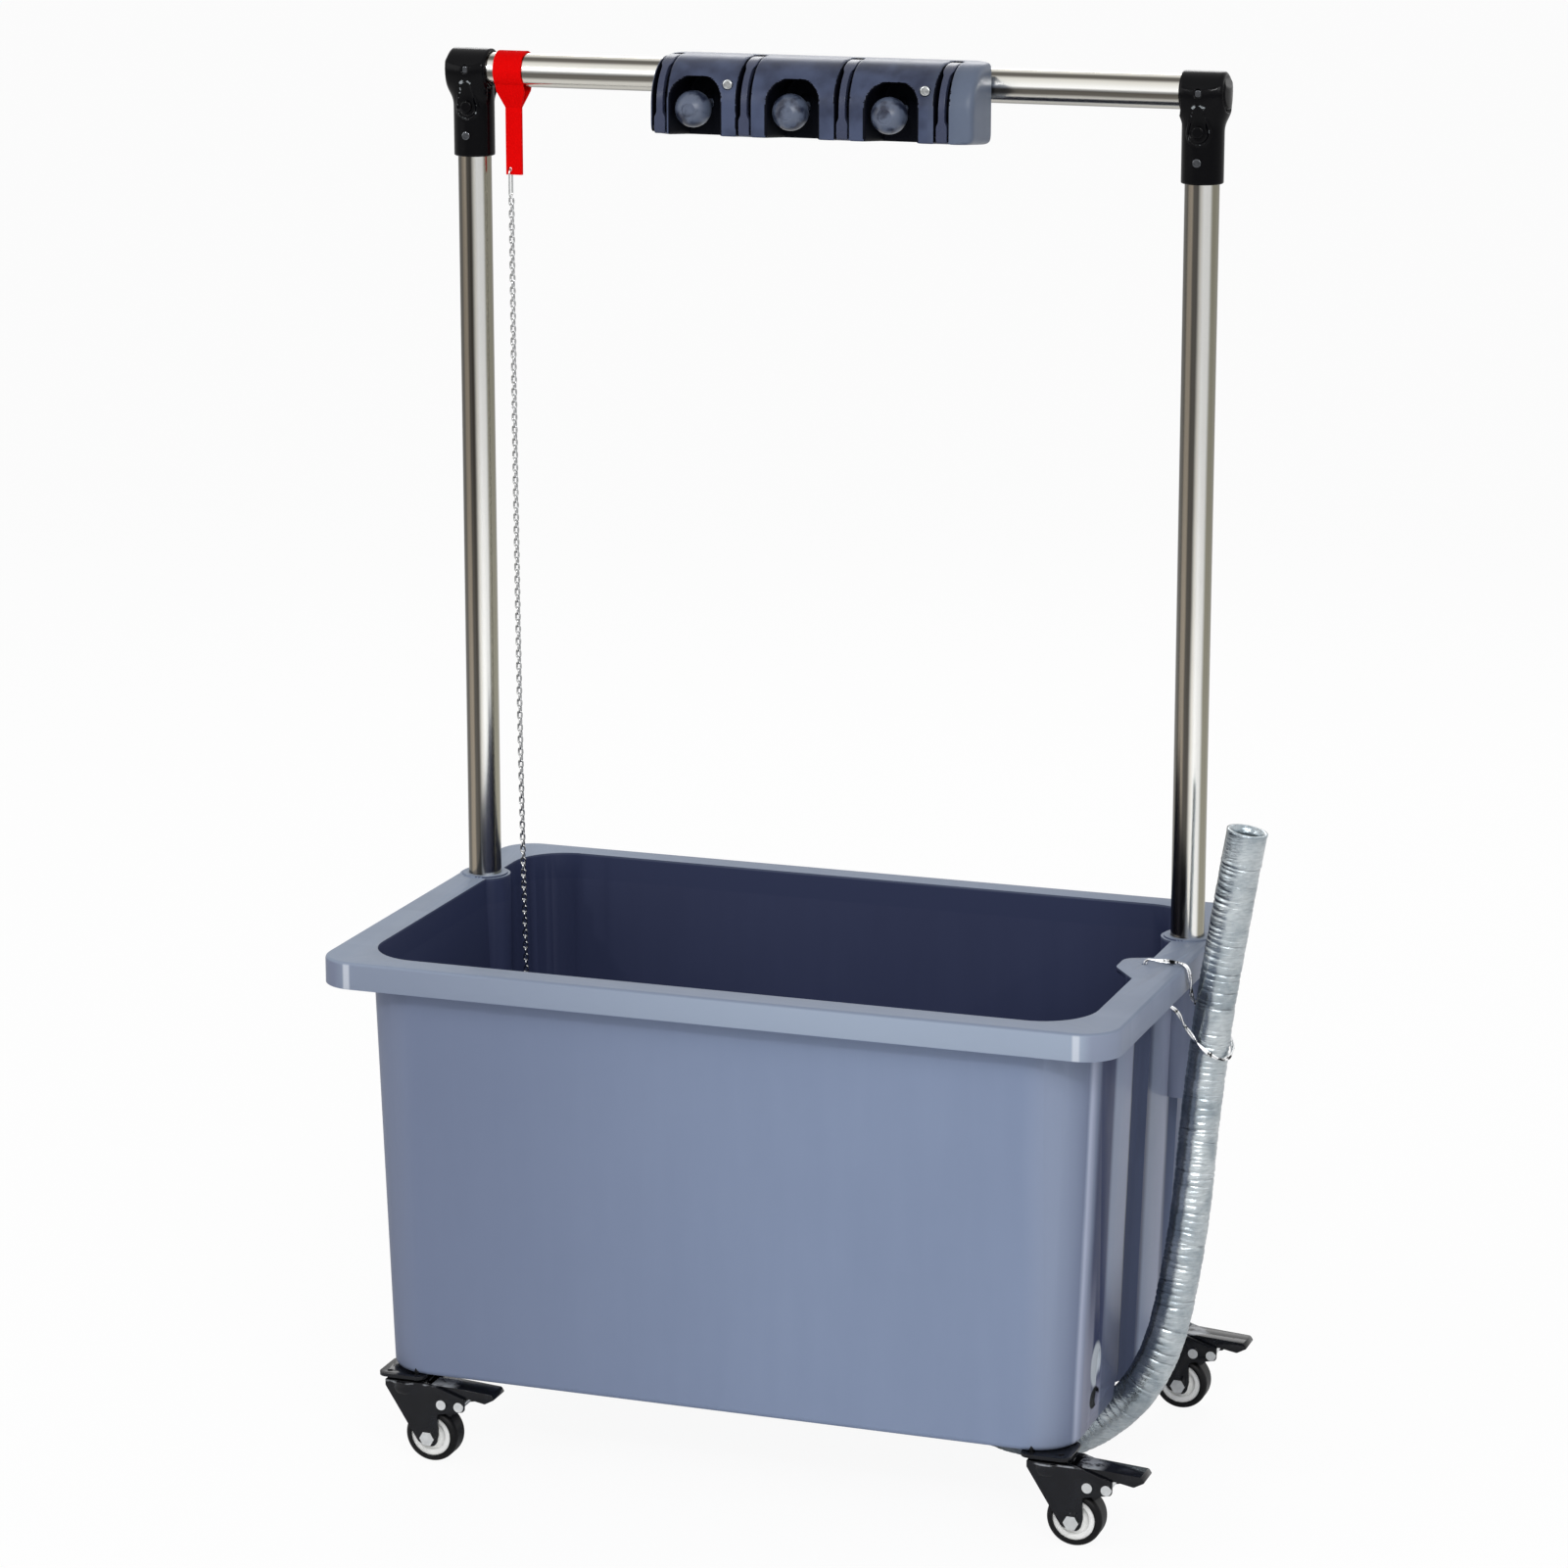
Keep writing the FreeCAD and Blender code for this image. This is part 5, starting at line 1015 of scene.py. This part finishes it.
def make_hooks():
    """Hooks with a waist between their pins and their tips."""
    for number, place in enumerate(HOOK_PLACES, start=1):
        name = "holder_hook_%d" % number
        mesh = remeshed(name, 0.45)
        points = points_of(mesh)
        z = points[:, 2]
        low, high = z.min(), z.max()
        waist = ramp(z, low + 11, low + 16) * (1 - ramp(z, high - 8, high - 4))
        points[:, 0] = place + (points[:, 0] - place) * (1 - 0.42 * waist)
        points = relaxed(mesh, points, 0.5 * numpy.ones(len(points)), 4)
        shaped(mesh, points)
        piece("moulded_" + name, mesh, "hook_%d" % number, hook_plastic,
              [name])


def make_heads(name, material, voxel):
    """Screws with domed heads, hammered a little uneven."""
    mesh = remeshed(name, voxel)
    points = points_of(mesh)
    points = relaxed(mesh, points, 0.5 * numpy.ones(len(points)), 12)
    shaped(mesh, points)
    piece("domed_" + name, mesh, "stand", material, [name])


make_hose()
make_tie()
make_chain()
make_elbow("left_elbow", -1)
make_elbow("right_elbow", 1)
make_housing()
make_hooks()
make_heads("elbow_screws", dull_steel, 0.3)
make_heads("elbow_clamp_bolts", black_plastic, 0.35)
make_heads("holder_screws", screw_steel, 0.35)


# ---- the pressed cup that holds each caster's ball race


def make_race_cup(corner, side, depth, sides=56):
    """A ring with the cup's section, turned round the caster's pin."""
    mesh = bmesh.new()
    rings = []
    for n in range(sides):
        angle = 2 * math.pi * n / sides
        rings.append([
            mesh.verts.new(at(SWIVEL_REACH * side + radius * math.cos(angle),
                              SWIVEL_SIDE * depth + radius * math.sin(angle), height))
            for radius, height in RACE_CUP])
    for n in range(sides):
        first, second = rings[n], rings[(n + 1) % sides]
        for k in range(len(RACE_CUP)):
            m = (k + 1) % len(RACE_CUP)
            mesh.faces.new((first[k], first[m], second[m], second[k]))
    bmesh.ops.recalc_face_normals(mesh, faces=mesh.faces)
    piece(corner + "_race_cup", smooth(mesh, 50), corner + "_swivel", gloss_black)


for corner, (side, depth) in CORNERS.items():
    make_race_cup(corner, side, depth)


# ---- finishes of the rigid pieces

FINISHES = {
    "tub": tub_plastic,
    "left_upright": left_chrome, "right_upright": right_chrome, "crossbar": bar_chrome,
    "holder_hook_pins": dark_zinc,
    "strap": red_webbing, "chain_ring": zinc,
    "drain_flange": pale_plastic, "drain_gasket": tyre_rubber, "drain_nut": pale_plastic,
    "drain_elbow": pale_plastic, "drain_plug": tyre_rubber, "plug_ring": zinc,
    "hose_clamp": zinc, "caster_screws": dark_zinc,
}
for number in range(1, 4):
    FINISHES["holder_roller_%d" % number] = ball_rubber
    FINISHES["holder_roller_pin_%d" % number] = ball_rubber
for corner in CORNERS:
    for part_name, material in (("plate", gloss_black), ("fork", gloss_black),
                                ("tyre", tyre_rubber), ("wheel_core", core_plastic),
                                ("axle_and_rivets", zinc), ("brake_pedal", gloss_black)):
        FINISHES[corner + "_" + part_name] = material
for name, material in FINISHES.items():
    clothed(nodes[name], material)

# the faces seen from inside the tub take the painted shade
paint_shade_inside(nodes["tub"], tub_inside_shade, [at(x, y, z) for z in (340, 200, 110)
                                 for x in (-210, -70, 70, 210) for y in (-110, 0, 110)])
soften("tub", 0.8)
for corner in CORNERS:
    for part_name, width in (("fork", 0.4), ("brake_pedal", 0.6), ("plate", 0.4),
                             ("wheel_core", 0.4)):
        soften(corner + "_" + part_name, width)


# ---- floor, light and camera

FLOOR_SIDE = 90  # metres
FLOOR_GLOW = 0.93  # how much of the floor the camera sees as plain white
SOFT_LIGHT = 0.55  # the world's light on the object
BACKDROP = 1.0  # and its strength where the camera or a gloss looks at it
LIGHTS = [("key", (1.9, -2.6, 2.4), 0.5, (1.6, 1.6), 42),
          ("fill", (-2.6, -2.0, 1.6), 0.5, (1.8, 1.8), 14),
          ("glint", (0.7, -2.8, 2.2), 0.7, (0.13, 0.13), 16),
          ("spark", (-1.5, -2.6, 1.9), 0.7, (0.1, 0.1), 6),
          ("back", (-0.6, 2.6, 2.2), 0.6, (2.0, 1.2), 22)]  # place, aim's height, size, watts
CAMERA_PLACE = at(1164.1, -3309.8, 1340.0)
CAMERA_TARGET = at(-4.68, 0, 500.49)
CAMERA_LENS = 112.9


def make_floor():
    """A pale floor that keeps the object's shadow, near white to the camera."""
    bpy.ops.mesh.primitive_plane_add(size=FLOOR_SIDE, location=(0, 0, 0))
    floor = bpy.context.object
    floor.name = "floor"
    f = Finish("pale_floor")
    f.surface(f.mix(f.noise(3, 2), (0.86, 0.86, 0.86), (0.9, 0.9, 0.9)), 0.7)
    glow = f.node("ShaderNodeEmission", values={"Color": (1, 1, 1, 1), "Strength": 1.0})
    camera_ray = f.node("ShaderNodeLightPath", output="Is Camera Ray")
    blended = f.node("ShaderNodeMixShader", values={"Fac": camera_ray * FLOOR_GLOW})
    mixer = blended.socket.node
    f.tree.links.new(f.shader.outputs[0], mixer.inputs[1])
    f.tree.links.new(glow.socket, mixer.inputs[2])
    output = [n for n in f.tree.nodes if n.type == "OUTPUT_MATERIAL"][0]
    f.tree.links.new(mixer.outputs[0], output.inputs["Surface"])
    clothed(floor, f.material)


def make_world():
    """Soft light all round, and white where the camera or a gloss sees the world."""
    world = bpy.data.worlds.new("studio")
    bpy.context.scene.world = world
    world.use_nodes = True
    tree = world.node_tree
    tree.nodes.clear()
    path = tree.nodes.new("ShaderNodeLightPath")
    seen = tree.nodes.new("ShaderNodeMath")
    seen.operation = "MAXIMUM"
    tree.links.new(path.outputs["Is Camera Ray"], seen.inputs[0])
    tree.links.new(path.outputs["Is Glossy Ray"], seen.inputs[1])
    mixer = tree.nodes.new("ShaderNodeMixShader")
    tree.links.new(seen.outputs[0], mixer.inputs[0])
    for slot, strength in ((1, SOFT_LIGHT), (2, BACKDROP)):
        shade = tree.nodes.new("ShaderNodeBackground")
        shade.inputs["Color"].default_value = (1, 1, 1, 1)
        shade.inputs["Strength"].default_value = strength
        tree.links.new(shade.outputs[0], mixer.inputs[slot])
    output = tree.nodes.new("ShaderNodeOutputWorld")
    tree.links.new(mixer.outputs[0], output.inputs["Surface"])


def facing(place, target):
    """The turn that makes a lamp or a camera at a place look at a target."""
    return (target - place).to_track_quat("-Z", "Y").to_euler()


def make_light(name, place, aim, size, power):
    data = bpy.data.lights.new(name, "AREA")
    data.shape = "RECTANGLE"
    data.size, data.size_y = size
    data.energy = power
    lamp = bpy.data.objects.new(name, data)
    bpy.context.scene.collection.objects.link(lamp)
    lamp.location = place
    lamp.rotation_euler = facing(Vector(place), Vector((0, 0, aim)))


def make_camera():
    data = bpy.data.cameras.new("camera")
    data.lens = CAMERA_LENS
    data.sensor_width = 36
    camera = bpy.data.objects.new("camera", data)
    bpy.context.scene.collection.objects.link(camera)
    camera.location = CAMERA_PLACE
    camera.rotation_euler = facing(CAMERA_PLACE, CAMERA_TARGET)
    bpy.context.scene.camera = camera


make_floor()
make_world()
for light in LIGHTS:
    make_light(*light)
make_camera()
bpy.context.scene.view_settings.view_transform = "Standard"
